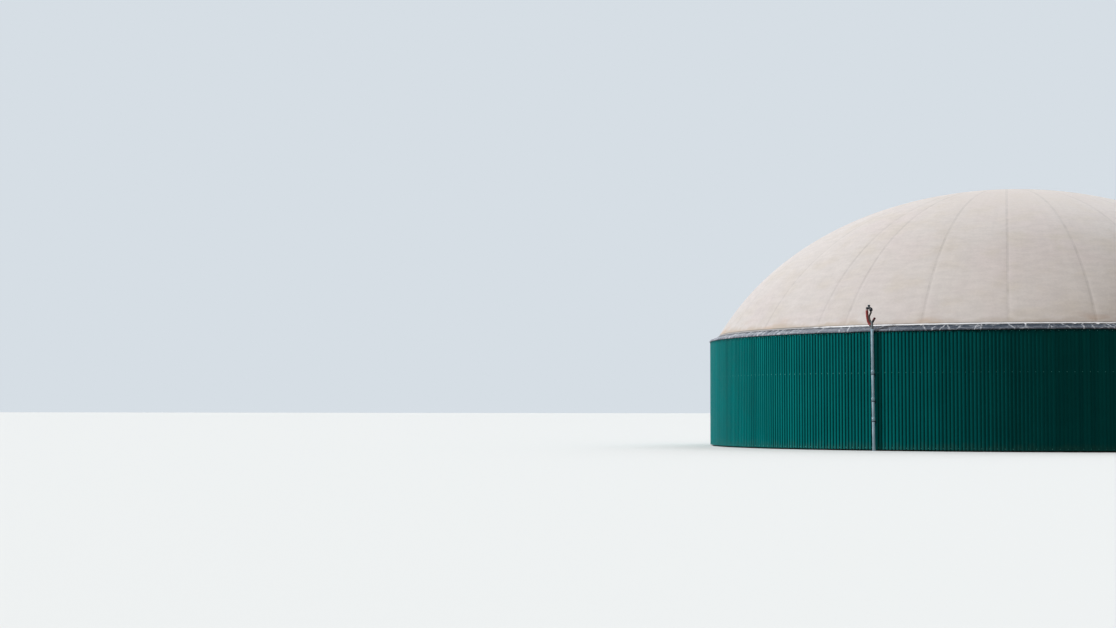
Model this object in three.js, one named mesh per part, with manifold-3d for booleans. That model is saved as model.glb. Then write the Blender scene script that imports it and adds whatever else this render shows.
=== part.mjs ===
// Biogas digester: a round concrete tank clad in ribbed green sheet, under an air-borne membrane dome.
// Millimetres, +Z up. The origin is the centre of the tank's underside, and -Y faces the viewer.
import * as THREE from "three";
import { mergeVertices } from "three/addons/utils/BufferGeometryUtils.js";
import Module from "manifold-3d";

// Round the tank: one flat facet for each cladding sheet, and eight segments of nine sheets.
const SHEETS = 72;
const SEGMENTS = 8;
const SHEETS_PER_SEGMENT = SHEETS / SEGMENTS;
const SHEET_ANGLE = (2 * Math.PI) / SHEETS;
const JOINT_GAP = 0.3; // between pieces that touch

// Concrete tank
const WALL_INNER_RADIUS = 12000;
const WALL_THICKNESS = 240;
const WALL_OUTER_RADIUS = WALL_INNER_RADIUS + WALL_THICKNESS;
const SLAB_THICKNESS = 250;
const WALL_TOP = 4500;

// Cladding on three ring rails
const CLADDING_RADIUS = 12500;
const CLADDING_PROFILE_DEPTH = 20;
const CLADDING_FOOT = 50;
const CLADDING_TOP = 4400;
const RAIL_HEIGHT = 60;
const RAIL_CENTRES = { bottom_rail: 110, middle_rail: 2840, top_rail: 4330 };

// Roof edge: a clamping strip on the wall, and a weather apron from it out over the cladding
const STRIP_RADIUS = 12117;
const STRIP_WIDTH = 57;
const STRIP_TOP = 4650;
const STRIP_LIP_RADIUS = 12142; // the lip hangs over the apron's inner edge
const STRIP_LIP_BOTTOM = 4614;
const APRON_TOP = 4612;
const APRON_EDGE_RADIUS = 12530;
const APRON_BEND_TOP = 4432;
const APRON_DRIP = 4385;
const APRON_THICKNESS = 28;
const APRON_DRIP_LEAN = 8; // from its bend out to its foot
const APRON_BEND_EASE = 4; // of its underside over a straight line to the bend

// Membrane dome: a spherical cap that the air pressure swells a little, most near its foot
const DOME_FOOT_RADIUS = 12105;
const DOME_RISE = 6066;
const DOME_SWELL = 216;
const DOME_FOOT_SWELL = 96;
const DOME_RINGS = 12;
const DOME_THICKNESS = 30;
const DOME_FOOT_WIDTH = 40;

// Riser pipe up the wall, in push-fit lengths, and the bracket that holds each joint
const RISER_ANGLE = 22.5; // degrees left of the viewer's side
const RISER_AXIS_RADIUS = 12575;
const RISER_LEAN = -0.5; // degrees from upright along the wall, to the viewer's left
const RISER_FOOT_GAP = 0.5; // keeps the leaning foot's lower edge off the floor
const RISER_TOP = 4465;
const SOCKET_CENTRES = [1158, 1895, 2885];
const PIPE_RADIUS = 55;
const PIPE_BORE_RADIUS = 51;
const PIPE_SIDES = 16;
const SOCKET_RADIUS = 64;
const SOCKET_BORE_RADIUS = 56.5;
const SOCKET_LENGTH = 100;
const SOCKET_TAPER = 10;
const BRACKET_HEIGHT = 30;
const BRACKET_DROP = 81; // of a bracket's centre under its joint's
const BRACKET_RING_RADIUS = 66;
const BRACKET_ARM_WIDTH = 24;
const BRACKET_PLATE_WIDTH = 90;
const BRACKET_PLATE_THICKNESS = 8;

// Branch on the riser's top. Its heights, and those of all that it carries, are over the riser's top
const BRANCH_COLLAR_RADIUS = 60;
const BRANCH_COLLAR_HEIGHT = 28;
const BRANCH_COLLAR_BEVEL = 6;
const BRANCH_FOOT_HEIGHT = 110;
const BRANCH_NECK_HEIGHT = 15;
const BRANCH_RADIUS = 44;
const BRANCH_TOP = 290;
const BRANCH_CROWN = [31, 8]; // radius of the crown's rim, and its depth under the top
const BRANCH_SHOULDER_DROP = 35;
const LEFT_ARM_TILT = -34.6; // degrees from upright, as for the other arms
const LEFT_ARM_ROOT = 43;
const LEFT_ARM_RADIUS = 47;
const LEFT_ARM_LENGTH = 143;
const MIDDLE_ARM_TILT = -35;
const MIDDLE_ARM_ROOT = 190;
const MIDDLE_ARM_RADIUS = 31;
const MIDDLE_ARM_LENGTH = 100;
const RIGHT_ARM_TILT = 33.5;
const RIGHT_ARM_ROOT = 247;
const RIGHT_ARM_RADIUS = 36;
const RIGHT_ARM_LENGTH = 48;

// Stub on the right arm
const STUB_SOCKET_RADIUS = 43;
const STUB_SOCKET_LENGTH = 60;
const STUB_RADIUS = 40;
const STUB_BORE_RADIUS = 35;
const STUB_LENGTH = 96;
const STUB_BORE_DEPTH = 70;

// Red elbow pipe on the left arm, the valve on it, and the return pipe from the valve to the middle arm
const ELBOW_RADIUS = 44;
const ELBOW_TOP_OFFSET = -198;
const ELBOW_TOP = 690;
const ELBOW_STEPS = 18;
const ELBOW_FOOT_RUN = 100; // straight run that the curve leaves the arm with, and the one it ends with
const ELBOW_HEAD_RUN = 385;
const VALVE_COLLAR_RADIUS = 50;
const VALVE_COLLAR_HEIGHT = 38;
const VALVE_WIDTH = 80;
const VALVE_HEIGHT = 77;
const VALVE_LEFT = -221;
const VALVE_HEEL = -90;
const VALVE_SHOULDER = -50;
const VALVE_LUG_LEFT = -67;
const VALVE_LUG_RIGHT = -7;
const VALVE_LUG_BOTTOM = 655;
const VALVE_LUG_TOP = 718;
const KNOB_OFFSET = -127;
const KNOB_RADIUS = 33;
const KNOB_HEIGHT = 79;
const KNOB_PROFILE = [[0, 0], [0.7, 0], [0.7, 0.3], [1, 0.4], [1, 0.85], [0.7, 1], [0, 1]]; // shares of radius, height
const RETURN_RADIUS = 29;
const RETURN_STEPS = 24;
const RETURN_TOP_OFFSET = -37;
const RETURN_HEAD_RUN = 90;
const RETURN_BULGE = [-100, 420];
const RETURN_BULGE_RUNS = [90, 80]; // above and below the bulge
const RETURN_FOOT_RUN = 40;

const wasm = await Module();
wasm.setup();

function material(color, roughness, metalness = 0) {
  return new THREE.MeshStandardMaterial({ color, roughness, metalness });
}

const FINISHES = {
  concrete: material(0x9a978f, 0.9),
  timber: material(0x8a6b45, 0.8),
  greenSheet: material(0x0c6a5e, 0.45, 0.3),
  slateMembrane: material(0x5c5d68, 0.7),
  beigeMembrane: material(0xcbc2ba, 0.75),
  whitePlastic: material(0xe9e8e4, 0.5),
  greyPlastic: material(0x8f979b, 0.5),
  redPlastic: material(0x7a3328, 0.5),
  blackPlastic: material(0x15171a, 0.5),
  blueGreyPlastic: material(0x55707c, 0.45),
  paleRubber: material(0xd9c8c6, 0.6),
  galvanised: material(0xa9acad, 0.4, 0.8),
};

function named(name, geometry, finish) {
  const mesh = new THREE.Mesh(geometry, finish);
  mesh.name = name;
  return mesh;
}

// Turns a profile of [radius, height] points about +Z. It starts and ends on the axis, or closes on itself.
function turned(profile, sides) {
  const points = profile.map(([radius, height]) => new THREE.Vector2(radius, height));
  return new THREE.LatheGeometry(points, sides).rotateX(Math.PI / 2);
}

function closed(profile) {
  return [...profile, profile[0]];
}

// Sweeps a closed outline of [radius, height] points about +Z through the listed angles, measured from -Y.
function sweptOutline(outline, angles) {
  const position = [];
  for (const angle of angles)
    for (const [radius, height] of outline)
      position.push(radius * Math.sin(angle), -radius * Math.cos(angle), height);
  const count = outline.length;
  const index = [];
  for (let step = 0; step < angles.length - 1; step++)
    for (let k = 0; k < count; k++) {
      const near = step * count + k;
      const next = step * count + ((k + 1) % count);
      index.push(near, next + count, next, near, near + count, next + count);
    }
  const last = (angles.length - 1) * count;
  const contour = outline.map(([radius, height]) => new THREE.Vector2(radius, height));
  for (const [a, b, c] of THREE.ShapeUtils.triangulateShape(contour, [])) {
    index.push(a, b, c);
    index.push(last + a, last + c, last + b);
  }
  return new THREE.BufferGeometry()
    .setAttribute("position", new THREE.Float32BufferAttribute(position, 3))
    .setIndex(index);
}

// The angles of one of the eight segments: its sheets' edges, with half the joint's gap off each end.
function segmentAngles(segment) {
  const first = segment * SHEETS_PER_SEGMENT;
  const trim = JOINT_GAP / 2 / WALL_INNER_RADIUS;
  return Array.from({ length: SHEETS_PER_SEGMENT + 1 }, (_, k) => {
    const edge = (first + k) * SHEET_ANGLE;
    if (k === 0) return edge + trim;
    return k === SHEETS_PER_SEGMENT ? edge - trim : edge;
  });
}

// One mesh for each segment of a ring with this outline.
function segmentMeshes(prefix, outline, finish) {
  return Array.from({ length: SEGMENTS }, (_, segment) =>
    named(`${prefix}_${segment + 1}`, sweptOutline(outline, segmentAngles(segment)), finish),
  );
}

function rectangle(innerRadius, outerRadius, bottom, top) {
  return [
    [innerRadius, bottom],
    [outerRadius, bottom],
    [outerRadius, top],
    [innerRadius, top],
  ];
}

function solidOf(geometry) {
  const bare = geometry.clone();
  bare.deleteAttribute("normal");
  bare.deleteAttribute("uv");
  const merged = mergeVertices(bare, 1e-3);
  const vertProperties = merged.attributes.position.array;
  return new wasm.Manifold(
    new wasm.Mesh({ numProp: 3, vertProperties, triVerts: new Uint32Array(merged.index.array) }),
  );
}

function joined(...geometries) {
  const whole = geometries.map(solidOf).reduce((sum, solid) => sum.add(solid));
  const mesh = whole.getMesh();
  return new THREE.BufferGeometry()
    .setAttribute("position", new THREE.Float32BufferAttribute(mesh.vertProperties, 3))
    .setIndex(Array.from(mesh.triVerts));
}

// Tank: floor slab and wall
function makeTank() {
  const tank = new THREE.Group();
  const slab = [[0, 0], [WALL_OUTER_RADIUS, 0], [WALL_OUTER_RADIUS, SLAB_THICKNESS], [0, SLAB_THICKNESS]];
  tank.add(named("floor_slab", turned(slab, SHEETS), FINISHES.concrete));
  const wall = rectangle(WALL_INNER_RADIUS, WALL_OUTER_RADIUS, SLAB_THICKNESS, WALL_TOP);
  tank.add(...segmentMeshes("tank_wall", wall, FINISHES.concrete));
  return tank;
}

// Cladding: three timber ring rails on the wall and the ribbed sheets on them
function makeCladding() {
  const cladding = new THREE.Group();
  const sheetInnerRadius = CLADDING_RADIUS - CLADDING_PROFILE_DEPTH;
  for (const [name, centre] of Object.entries(RAIL_CENTRES)) {
    const rail = rectangle(
      WALL_OUTER_RADIUS + JOINT_GAP,
      sheetInnerRadius - JOINT_GAP,
      centre - RAIL_HEIGHT / 2,
      centre + RAIL_HEIGHT / 2,
    );
    cladding.add(named(name, turned(closed(rail), SHEETS), FINISHES.timber));
  }
  const sheets = rectangle(sheetInnerRadius, CLADDING_RADIUS, CLADDING_FOOT, CLADDING_TOP);
  cladding.add(...segmentMeshes("cladding", sheets, FINISHES.greenSheet));
  return cladding;
}

// Height of the membrane over its foot at a radius, for a dome with this foot radius and rise.
function domeHeight(radius, footRadius, rise) {
  const sphereRadius = (footRadius ** 2 + rise ** 2) / (2 * rise);
  const cap = Math.sqrt(sphereRadius ** 2 - radius ** 2) - (sphereRadius - rise);
  const share = radius / footRadius;
  const swell = DOME_SWELL * Math.sin(Math.PI * share ** 2);
  return cap + swell + DOME_FOOT_SWELL * Math.sin(Math.PI * share ** 6);
}

// Points of the membrane from its foot to its top, evenly spaced along the arc.
function domeProfile(footRadius, rise) {
  const sphereRadius = (footRadius ** 2 + rise ** 2) / (2 * rise);
  const footAngle = Math.asin(footRadius / sphereRadius);
  return Array.from({ length: DOME_RINGS + 1 }, (_, ring) => {
    if (ring === 0) return [footRadius, STRIP_TOP];
    if (ring === DOME_RINGS) return [0, STRIP_TOP + rise];
    const radius = sphereRadius * Math.sin(footAngle * (1 - ring / DOME_RINGS));
    return [radius, STRIP_TOP + domeHeight(radius, footRadius, rise)];
  });
}

// Roof: clamping strip, weather apron and membrane dome
function makeRoof() {
  const roof = new THREE.Group();
  const strip = [
    [STRIP_RADIUS - STRIP_WIDTH, WALL_TOP],
    [STRIP_RADIUS, WALL_TOP],
    [STRIP_RADIUS, STRIP_LIP_BOTTOM],
    [STRIP_LIP_RADIUS, STRIP_LIP_BOTTOM],
    [STRIP_LIP_RADIUS, STRIP_TOP],
    [STRIP_RADIUS - STRIP_WIDTH, STRIP_TOP],
  ];
  roof.add(named("clamping_strip", turned(closed(strip), SHEETS), FINISHES.whitePlastic));

  const apronInnerRadius = STRIP_RADIUS + JOINT_GAP;
  const apronHemRadius = CLADDING_RADIUS + JOINT_GAP;
  const apron = [
    [apronInnerRadius, APRON_TOP - APRON_THICKNESS],
    [apronHemRadius, APRON_BEND_TOP - APRON_THICKNESS + APRON_BEND_EASE],
    [apronHemRadius, APRON_DRIP],
    [APRON_EDGE_RADIUS, APRON_DRIP],
    [APRON_EDGE_RADIUS - APRON_DRIP_LEAN, APRON_BEND_TOP],
    [apronInnerRadius, APRON_TOP],
  ];
  roof.add(...segmentMeshes("weather_apron", apron, FINISHES.slateMembrane));

  const outside = domeProfile(DOME_FOOT_RADIUS, DOME_RISE);
  const inside = domeProfile(DOME_FOOT_RADIUS - DOME_FOOT_WIDTH, DOME_RISE - DOME_THICKNESS);
  const shell = [...inside.reverse(), ...outside];
  roof.add(named("dome_membrane", turned(shell, SHEETS), FINISHES.beigeMembrane));
  return roof;
}

// One push-fit length: a spigot at its foot and, unless it is the last, a socket at its head.
function pipeLength(bottom, top, hasSocket) {
  if (!hasSocket) return turned(closed(rectangle(PIPE_BORE_RADIUS, PIPE_RADIUS, bottom, top)), PIPE_SIDES);
  const socketFoot = top - SOCKET_LENGTH;
  return turned(
    closed([
      [PIPE_BORE_RADIUS, bottom],
      [PIPE_RADIUS, bottom],
      [PIPE_RADIUS, socketFoot - SOCKET_TAPER],
      [SOCKET_RADIUS, socketFoot],
      [SOCKET_RADIUS, top],
      [SOCKET_BORE_RADIUS, top],
      [SOCKET_BORE_RADIUS, socketFoot],
      [PIPE_BORE_RADIUS, socketFoot],
    ]),
    PIPE_SIDES,
  );
}

// A ring round the pipe with an arm and a plate on the cladding, drawn in plan with the wall at +Y.
function makeBracket(centre) {
  const sheetFace = CLADDING_RADIUS * Math.cos(SHEET_ANGLE / 2) + JOINT_GAP;
  const plateBack = RISER_AXIS_RADIUS - sheetFace;
  const plateFront = plateBack - BRACKET_PLATE_THICKNESS;
  const armHalf = BRACKET_ARM_WIDTH / 2;
  const plateHalf = BRACKET_PLATE_WIDTH / 2;
  const armAngle = Math.asin(armHalf / BRACKET_RING_RADIUS);
  const outline = new THREE.Shape();
  outline.moveTo(-armHalf, plateFront);
  outline.absarc(0, 0, BRACKET_RING_RADIUS, Math.PI / 2 + armAngle, (5 * Math.PI) / 2 - armAngle, false);
  outline.lineTo(armHalf, plateFront);
  outline.lineTo(plateHalf, plateFront);
  outline.lineTo(plateHalf, plateBack);
  outline.lineTo(-plateHalf, plateBack);
  outline.lineTo(-plateHalf, plateFront);
  const bore = new THREE.Path();
  const boreRadius = (PIPE_RADIUS + JOINT_GAP) / Math.cos(Math.PI / (2 * PIPE_SIDES));
  bore.absarc(0, 0, boreRadius, 0, 2 * Math.PI, true);
  outline.holes.push(bore);
  return new THREE.ExtrudeGeometry(outline, {
    depth: BRACKET_HEIGHT,
    bevelEnabled: false,
    curveSegments: PIPE_SIDES,
  }).translate(0, 0, centre - BRACKET_HEIGHT / 2);
}

// A round solid of this radius and length that starts at [across, height] and leans `tilt` degrees to +X.
function leaningRod(radius, length, tilt, [across, height]) {
  return turned([[0, 0], [radius, 0], [radius, length], [0, length]], PIPE_SIDES)
    .rotateY(THREE.MathUtils.degToRad(tilt))
    .translate(across, 0, height);
}

// A round pipe along a chain of Bezier curves, each given by four [across, height] points.
function bentPipe(radius, curves, steps) {
  const path = new THREE.CurvePath();
  for (const points of curves)
    path.add(new THREE.CubicBezierCurve3(...points.map(([across, height]) => new THREE.Vector3(across, 0, height))));
  const section = new THREE.Shape().absarc(0, 0, radius, 0, 2 * Math.PI, false);
  return new THREE.ExtrudeGeometry(section, { steps, extrudePath: path, curveSegments: PIPE_SIDES / 2 });
}

// The fitting on the riser's top, drawn with the top of the riser at the origin.
function makeBranch() {
  const [crownRadius, crownDepth] = BRANCH_CROWN;
  const body = turned(
    [
      [0, 0],
      [BRANCH_COLLAR_RADIUS, 0],
      [BRANCH_COLLAR_RADIUS, BRANCH_COLLAR_HEIGHT],
      [PIPE_RADIUS, BRANCH_COLLAR_HEIGHT + BRANCH_COLLAR_BEVEL],
      [PIPE_RADIUS, BRANCH_FOOT_HEIGHT],
      [BRANCH_RADIUS, BRANCH_FOOT_HEIGHT + BRANCH_NECK_HEIGHT],
      [BRANCH_RADIUS, BRANCH_TOP - BRANCH_SHOULDER_DROP],
      [crownRadius, BRANCH_TOP - crownDepth],
      [0, BRANCH_TOP],
    ],
    PIPE_SIDES,
  );
  return joined(
    body,
    leaningRod(LEFT_ARM_RADIUS, LEFT_ARM_LENGTH, LEFT_ARM_TILT, [0, LEFT_ARM_ROOT]),
    leaningRod(MIDDLE_ARM_RADIUS, MIDDLE_ARM_LENGTH, MIDDLE_ARM_TILT, [0, MIDDLE_ARM_ROOT]),
    leaningRod(RIGHT_ARM_RADIUS, RIGHT_ARM_LENGTH, RIGHT_ARM_TILT, [0, RIGHT_ARM_ROOT]),
  );
}

// The [across, height] point `along` an arm that leaves the branch's axis at `root` and leans `tilt` degrees.
function pointOnArm(root, tilt, along) {
  const angle = THREE.MathUtils.degToRad(tilt);
  return [along * Math.sin(angle), root + along * Math.cos(angle)];
}

// Stands a solid that was drawn upright at the origin on the right arm, `along` it.
function onRightArm(geometry, along) {
  const [across, height] = pointOnArm(RIGHT_ARM_ROOT, RIGHT_ARM_TILT, along);
  return geometry.rotateY(THREE.MathUtils.degToRad(RIGHT_ARM_TILT)).translate(across, 0, height);
}

function makeValveBody() {
  const bottom = ELBOW_TOP + VALVE_COLLAR_HEIGHT;
  const top = bottom + VALVE_HEIGHT;
  const side = new THREE.Shape([
    new THREE.Vector2(VALVE_LEFT, bottom),
    new THREE.Vector2(VALVE_HEEL, bottom),
    new THREE.Vector2(VALVE_LUG_LEFT, VALVE_LUG_TOP),
    new THREE.Vector2(VALVE_LUG_LEFT, VALVE_LUG_BOTTOM),
    new THREE.Vector2(VALVE_LUG_RIGHT, VALVE_LUG_BOTTOM),
    new THREE.Vector2(VALVE_LUG_RIGHT, VALVE_LUG_TOP),
    new THREE.Vector2(VALVE_SHOULDER, top),
    new THREE.Vector2(VALVE_LEFT, top),
  ]);
  return new THREE.ExtrudeGeometry(side, { depth: VALVE_WIDTH, bevelEnabled: false })
    .rotateX(Math.PI / 2)
    .translate(0, VALVE_WIDTH / 2, 0);
}

// Everything on the riser's top, in a group whose origin is the centre of the riser's top
function makeTopFitting() {
  const fitting = new THREE.Group();
  fitting.position.z = RISER_TOP + JOINT_GAP;
  fitting.add(named("branch_fitting", makeBranch(), FINISHES.greyPlastic));

  const socket = turned(
    [[0, 0], [STUB_SOCKET_RADIUS, 0], [STUB_SOCKET_RADIUS, STUB_SOCKET_LENGTH], [0, STUB_SOCKET_LENGTH]],
    PIPE_SIDES,
  );
  const socketStart = RIGHT_ARM_LENGTH + JOINT_GAP;
  fitting.add(named("stub_socket", onRightArm(socket, socketStart), FINISHES.blackPlastic));
  const stub = turned(
    [
      [0, 0],
      [STUB_RADIUS, 0],
      [STUB_RADIUS, STUB_LENGTH],
      [STUB_BORE_RADIUS, STUB_LENGTH],
      [STUB_BORE_RADIUS, STUB_LENGTH - STUB_BORE_DEPTH],
      [0, STUB_LENGTH - STUB_BORE_DEPTH],
    ],
    PIPE_SIDES,
  );
  const stubStart = socketStart + STUB_SOCKET_LENGTH + JOINT_GAP;
  fitting.add(named("side_stub", onRightArm(stub, stubStart), FINISHES.redPlastic));

  const elbowStart = LEFT_ARM_LENGTH + JOINT_GAP;
  const elbowCurve = [
    pointOnArm(LEFT_ARM_ROOT, LEFT_ARM_TILT, elbowStart),
    pointOnArm(LEFT_ARM_ROOT, LEFT_ARM_TILT, elbowStart + ELBOW_FOOT_RUN),
    [ELBOW_TOP_OFFSET, ELBOW_TOP - ELBOW_HEAD_RUN],
    [ELBOW_TOP_OFFSET, ELBOW_TOP],
  ];
  fitting.add(named("elbow_pipe", bentPipe(ELBOW_RADIUS, [elbowCurve], ELBOW_STEPS), FINISHES.redPlastic));
  const collar = leaningRod(VALVE_COLLAR_RADIUS, VALVE_COLLAR_HEIGHT - 2 * JOINT_GAP, 0, [
    ELBOW_TOP_OFFSET,
    ELBOW_TOP + JOINT_GAP,
  ]);
  fitting.add(named("valve_collar", collar, FINISHES.paleRubber));
  fitting.add(named("valve_body", makeValveBody(), FINISHES.blackPlastic));
  const knobProfile = KNOB_PROFILE.map(([radius, height]) => [radius * KNOB_RADIUS, height * KNOB_HEIGHT]);
  const knob = turned(knobProfile, PIPE_SIDES).translate(
    KNOB_OFFSET,
    0,
    ELBOW_TOP + VALVE_COLLAR_HEIGHT + VALVE_HEIGHT + JOINT_GAP,
  );
  fitting.add(named("valve_knob", knob, FINISHES.blueGreyPlastic));
  const [bulgeAcross, bulgeHeight] = RETURN_BULGE;
  const [runAbove, runBelow] = RETURN_BULGE_RUNS;
  const returnTop = VALVE_LUG_BOTTOM - JOINT_GAP;
  const returnEnd = MIDDLE_ARM_LENGTH + JOINT_GAP;
  const returnCurves = [
    [
      [RETURN_TOP_OFFSET, returnTop],
      [RETURN_TOP_OFFSET, returnTop - RETURN_HEAD_RUN],
      [bulgeAcross, bulgeHeight + runAbove],
      RETURN_BULGE,
    ],
    [
      RETURN_BULGE,
      [bulgeAcross, bulgeHeight - runBelow],
      pointOnArm(MIDDLE_ARM_ROOT, MIDDLE_ARM_TILT, returnEnd + RETURN_FOOT_RUN),
      pointOnArm(MIDDLE_ARM_ROOT, MIDDLE_ARM_TILT, returnEnd),
    ],
  ];
  fitting.add(named("return_pipe", bentPipe(RETURN_RADIUS, returnCurves, RETURN_STEPS), FINISHES.greyPlastic));
  return fitting;
}

// Riser: pipe lengths, brackets and the top fitting, drawn on the pipe's own axis
function makeRiser() {
  const riser = new THREE.Group();
  let bottom = 0;
  SOCKET_CENTRES.forEach((centre, k) => {
    const top = centre + SOCKET_LENGTH / 2;
    riser.add(named(`riser_pipe_${k + 1}`, pipeLength(bottom, top, true), FINISHES.greyPlastic));
    riser.add(named(`pipe_bracket_${k + 1}`, makeBracket(centre - BRACKET_DROP), FINISHES.galvanised));
    bottom = top - SOCKET_LENGTH + JOINT_GAP;
  });
  const last = SOCKET_CENTRES.length + 1;
  riser.add(named(`riser_pipe_${last}`, pipeLength(bottom, RISER_TOP, false), FINISHES.greyPlastic));
  riser.add(makeTopFitting());

  riser.rotation.y = THREE.MathUtils.degToRad(RISER_LEAN);
  riser.position.z = RISER_FOOT_GAP;
  const stand = new THREE.Group();
  const angle = THREE.MathUtils.degToRad(-RISER_ANGLE);
  stand.position.set(RISER_AXIS_RADIUS * Math.sin(angle), -RISER_AXIS_RADIUS * Math.cos(angle), 0);
  stand.rotation.z = angle;
  stand.add(riser);
  return stand;
}

const digester = new THREE.Group();
digester.add(makeTank(), makeCladding(), makeRoof(), makeRiser());

export default digester;
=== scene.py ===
"""Studio scene of a biogas digester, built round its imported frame.

Lengths are in metres. A bearing is in degrees round the tank from -Y, the camera's side, and grows
to the left as the camera sees it. A profile is a row of points, each a radius and a height.
"""

from __future__ import annotations

import logging
import math
import random
from collections.abc import Callable, Iterator, Sequence
from contextlib import contextmanager
from dataclasses import dataclass
from enum import Enum
from functools import cache

import bmesh
import bpy
from mathutils import Matrix, Vector, noise


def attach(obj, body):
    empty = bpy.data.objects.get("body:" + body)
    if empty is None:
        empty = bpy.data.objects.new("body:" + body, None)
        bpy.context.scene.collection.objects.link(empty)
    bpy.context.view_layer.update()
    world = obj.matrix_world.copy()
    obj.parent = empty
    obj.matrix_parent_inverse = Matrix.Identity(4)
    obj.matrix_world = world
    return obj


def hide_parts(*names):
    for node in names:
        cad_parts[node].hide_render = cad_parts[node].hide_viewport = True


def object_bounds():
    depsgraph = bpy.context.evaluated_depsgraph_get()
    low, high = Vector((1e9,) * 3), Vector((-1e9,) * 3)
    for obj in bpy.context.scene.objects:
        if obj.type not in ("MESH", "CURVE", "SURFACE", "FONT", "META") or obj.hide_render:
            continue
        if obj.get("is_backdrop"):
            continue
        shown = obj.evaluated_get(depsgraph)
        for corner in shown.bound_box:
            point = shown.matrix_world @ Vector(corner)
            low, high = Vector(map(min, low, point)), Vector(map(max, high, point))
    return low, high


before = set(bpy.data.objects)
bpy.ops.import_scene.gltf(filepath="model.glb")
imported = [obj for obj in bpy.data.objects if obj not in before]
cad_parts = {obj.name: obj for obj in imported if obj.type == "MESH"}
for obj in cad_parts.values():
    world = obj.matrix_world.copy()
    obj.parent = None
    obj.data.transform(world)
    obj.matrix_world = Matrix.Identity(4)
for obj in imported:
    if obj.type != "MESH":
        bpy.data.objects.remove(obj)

LOG = logging.getLogger("digester")
AXIS = (0.0, 0.0, 1.0)
CENTRE = (0.0, 0.0, 0.0)
STILL = Matrix.Identity(4)

Colour = tuple[float, float, float]
Screen = tuple[int, int, int]
Profile = Sequence[tuple[float, float]]
Piece = bpy.types.Object
Socket = bpy.types.NodeSocket
Source = Socket | float | Colour


def paint(*levels: int) -> Colour:
    """Linear colour, as shaders read it, of a screen colour's red, green and blue up to 255."""
    shares = [level / 255 for level in levels]
    return tuple(share / 12.92 if share <= 0.04045 else ((share + 0.055) / 1.055) ** 2.4 for share in shares)


def on_ring(radius: float, bearing: float, height: float) -> Vector:
    """Point at a distance from the tank's axis, a bearing and a height over the floor."""
    turn = math.radians(bearing)
    return Vector((-radius * math.sin(turn), -radius * math.cos(turn), height))


def shift(x: float = 0.0, y: float = 0.0, z: float = 0.0) -> Matrix:
    """Move along the three axes."""
    return Matrix.Translation((x, y, z))


def rotation(angle: float, axis: str) -> Matrix:
    """Turn by an angle in degrees about an axis."""
    return Matrix.Rotation(math.radians(angle), 4, axis)


def to_bearing(bearing: float) -> Matrix:
    """Turn round the tank's axis that takes bearing 0 to a bearing."""
    return rotation(-bearing, "Z")


def bearing_of(point: Vector) -> float:
    """Bearing of a point, from 0 to 360."""
    return math.degrees(math.atan2(-point.x, -point.y)) % 360


def radius_of(point: Vector) -> float:
    """Distance of a point from the tank's axis."""
    return math.hypot(point.x, point.y)


def between(start: float, end: float) -> float:
    """Shorter way round from one bearing to another, from -180 to 180."""
    return (end - start + 180) % 360 - 180


def wavering(*place: float) -> float:
    """Smooth noise from about -1 to 1 at a place of three numbers."""
    return noise.noise(Vector(place))


def bell(offset: float) -> float:
    """Rise to 1 at no offset, and fade to nothing within 3 of it."""
    return math.exp(-offset * offset)


def smooth_step(value: float, low: float, high: float) -> float:
    """Rise smoothly from 0 at low to 1 at high."""
    share = min(1.0, max(0.0, (value - low) / (high - low)))
    return share * share * (3 - 2 * share)


def light_share(bearing: float, lit_bearing: float) -> float:
    """Share of painted light that a bearing gets, from 0 on the side away from the key light to 1 on the side
    facing it.
    """
    toward = 0.5 + 0.5 * math.cos(math.radians(bearing - lit_bearing))
    return smooth_step(toward, 0.54, 0.84)


class Element(Enum):
    """What a pick in edit mode selects."""

    VERTEX = "VERT"
    EDGE = "EDGE"
    FACE = "FACE"


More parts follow.
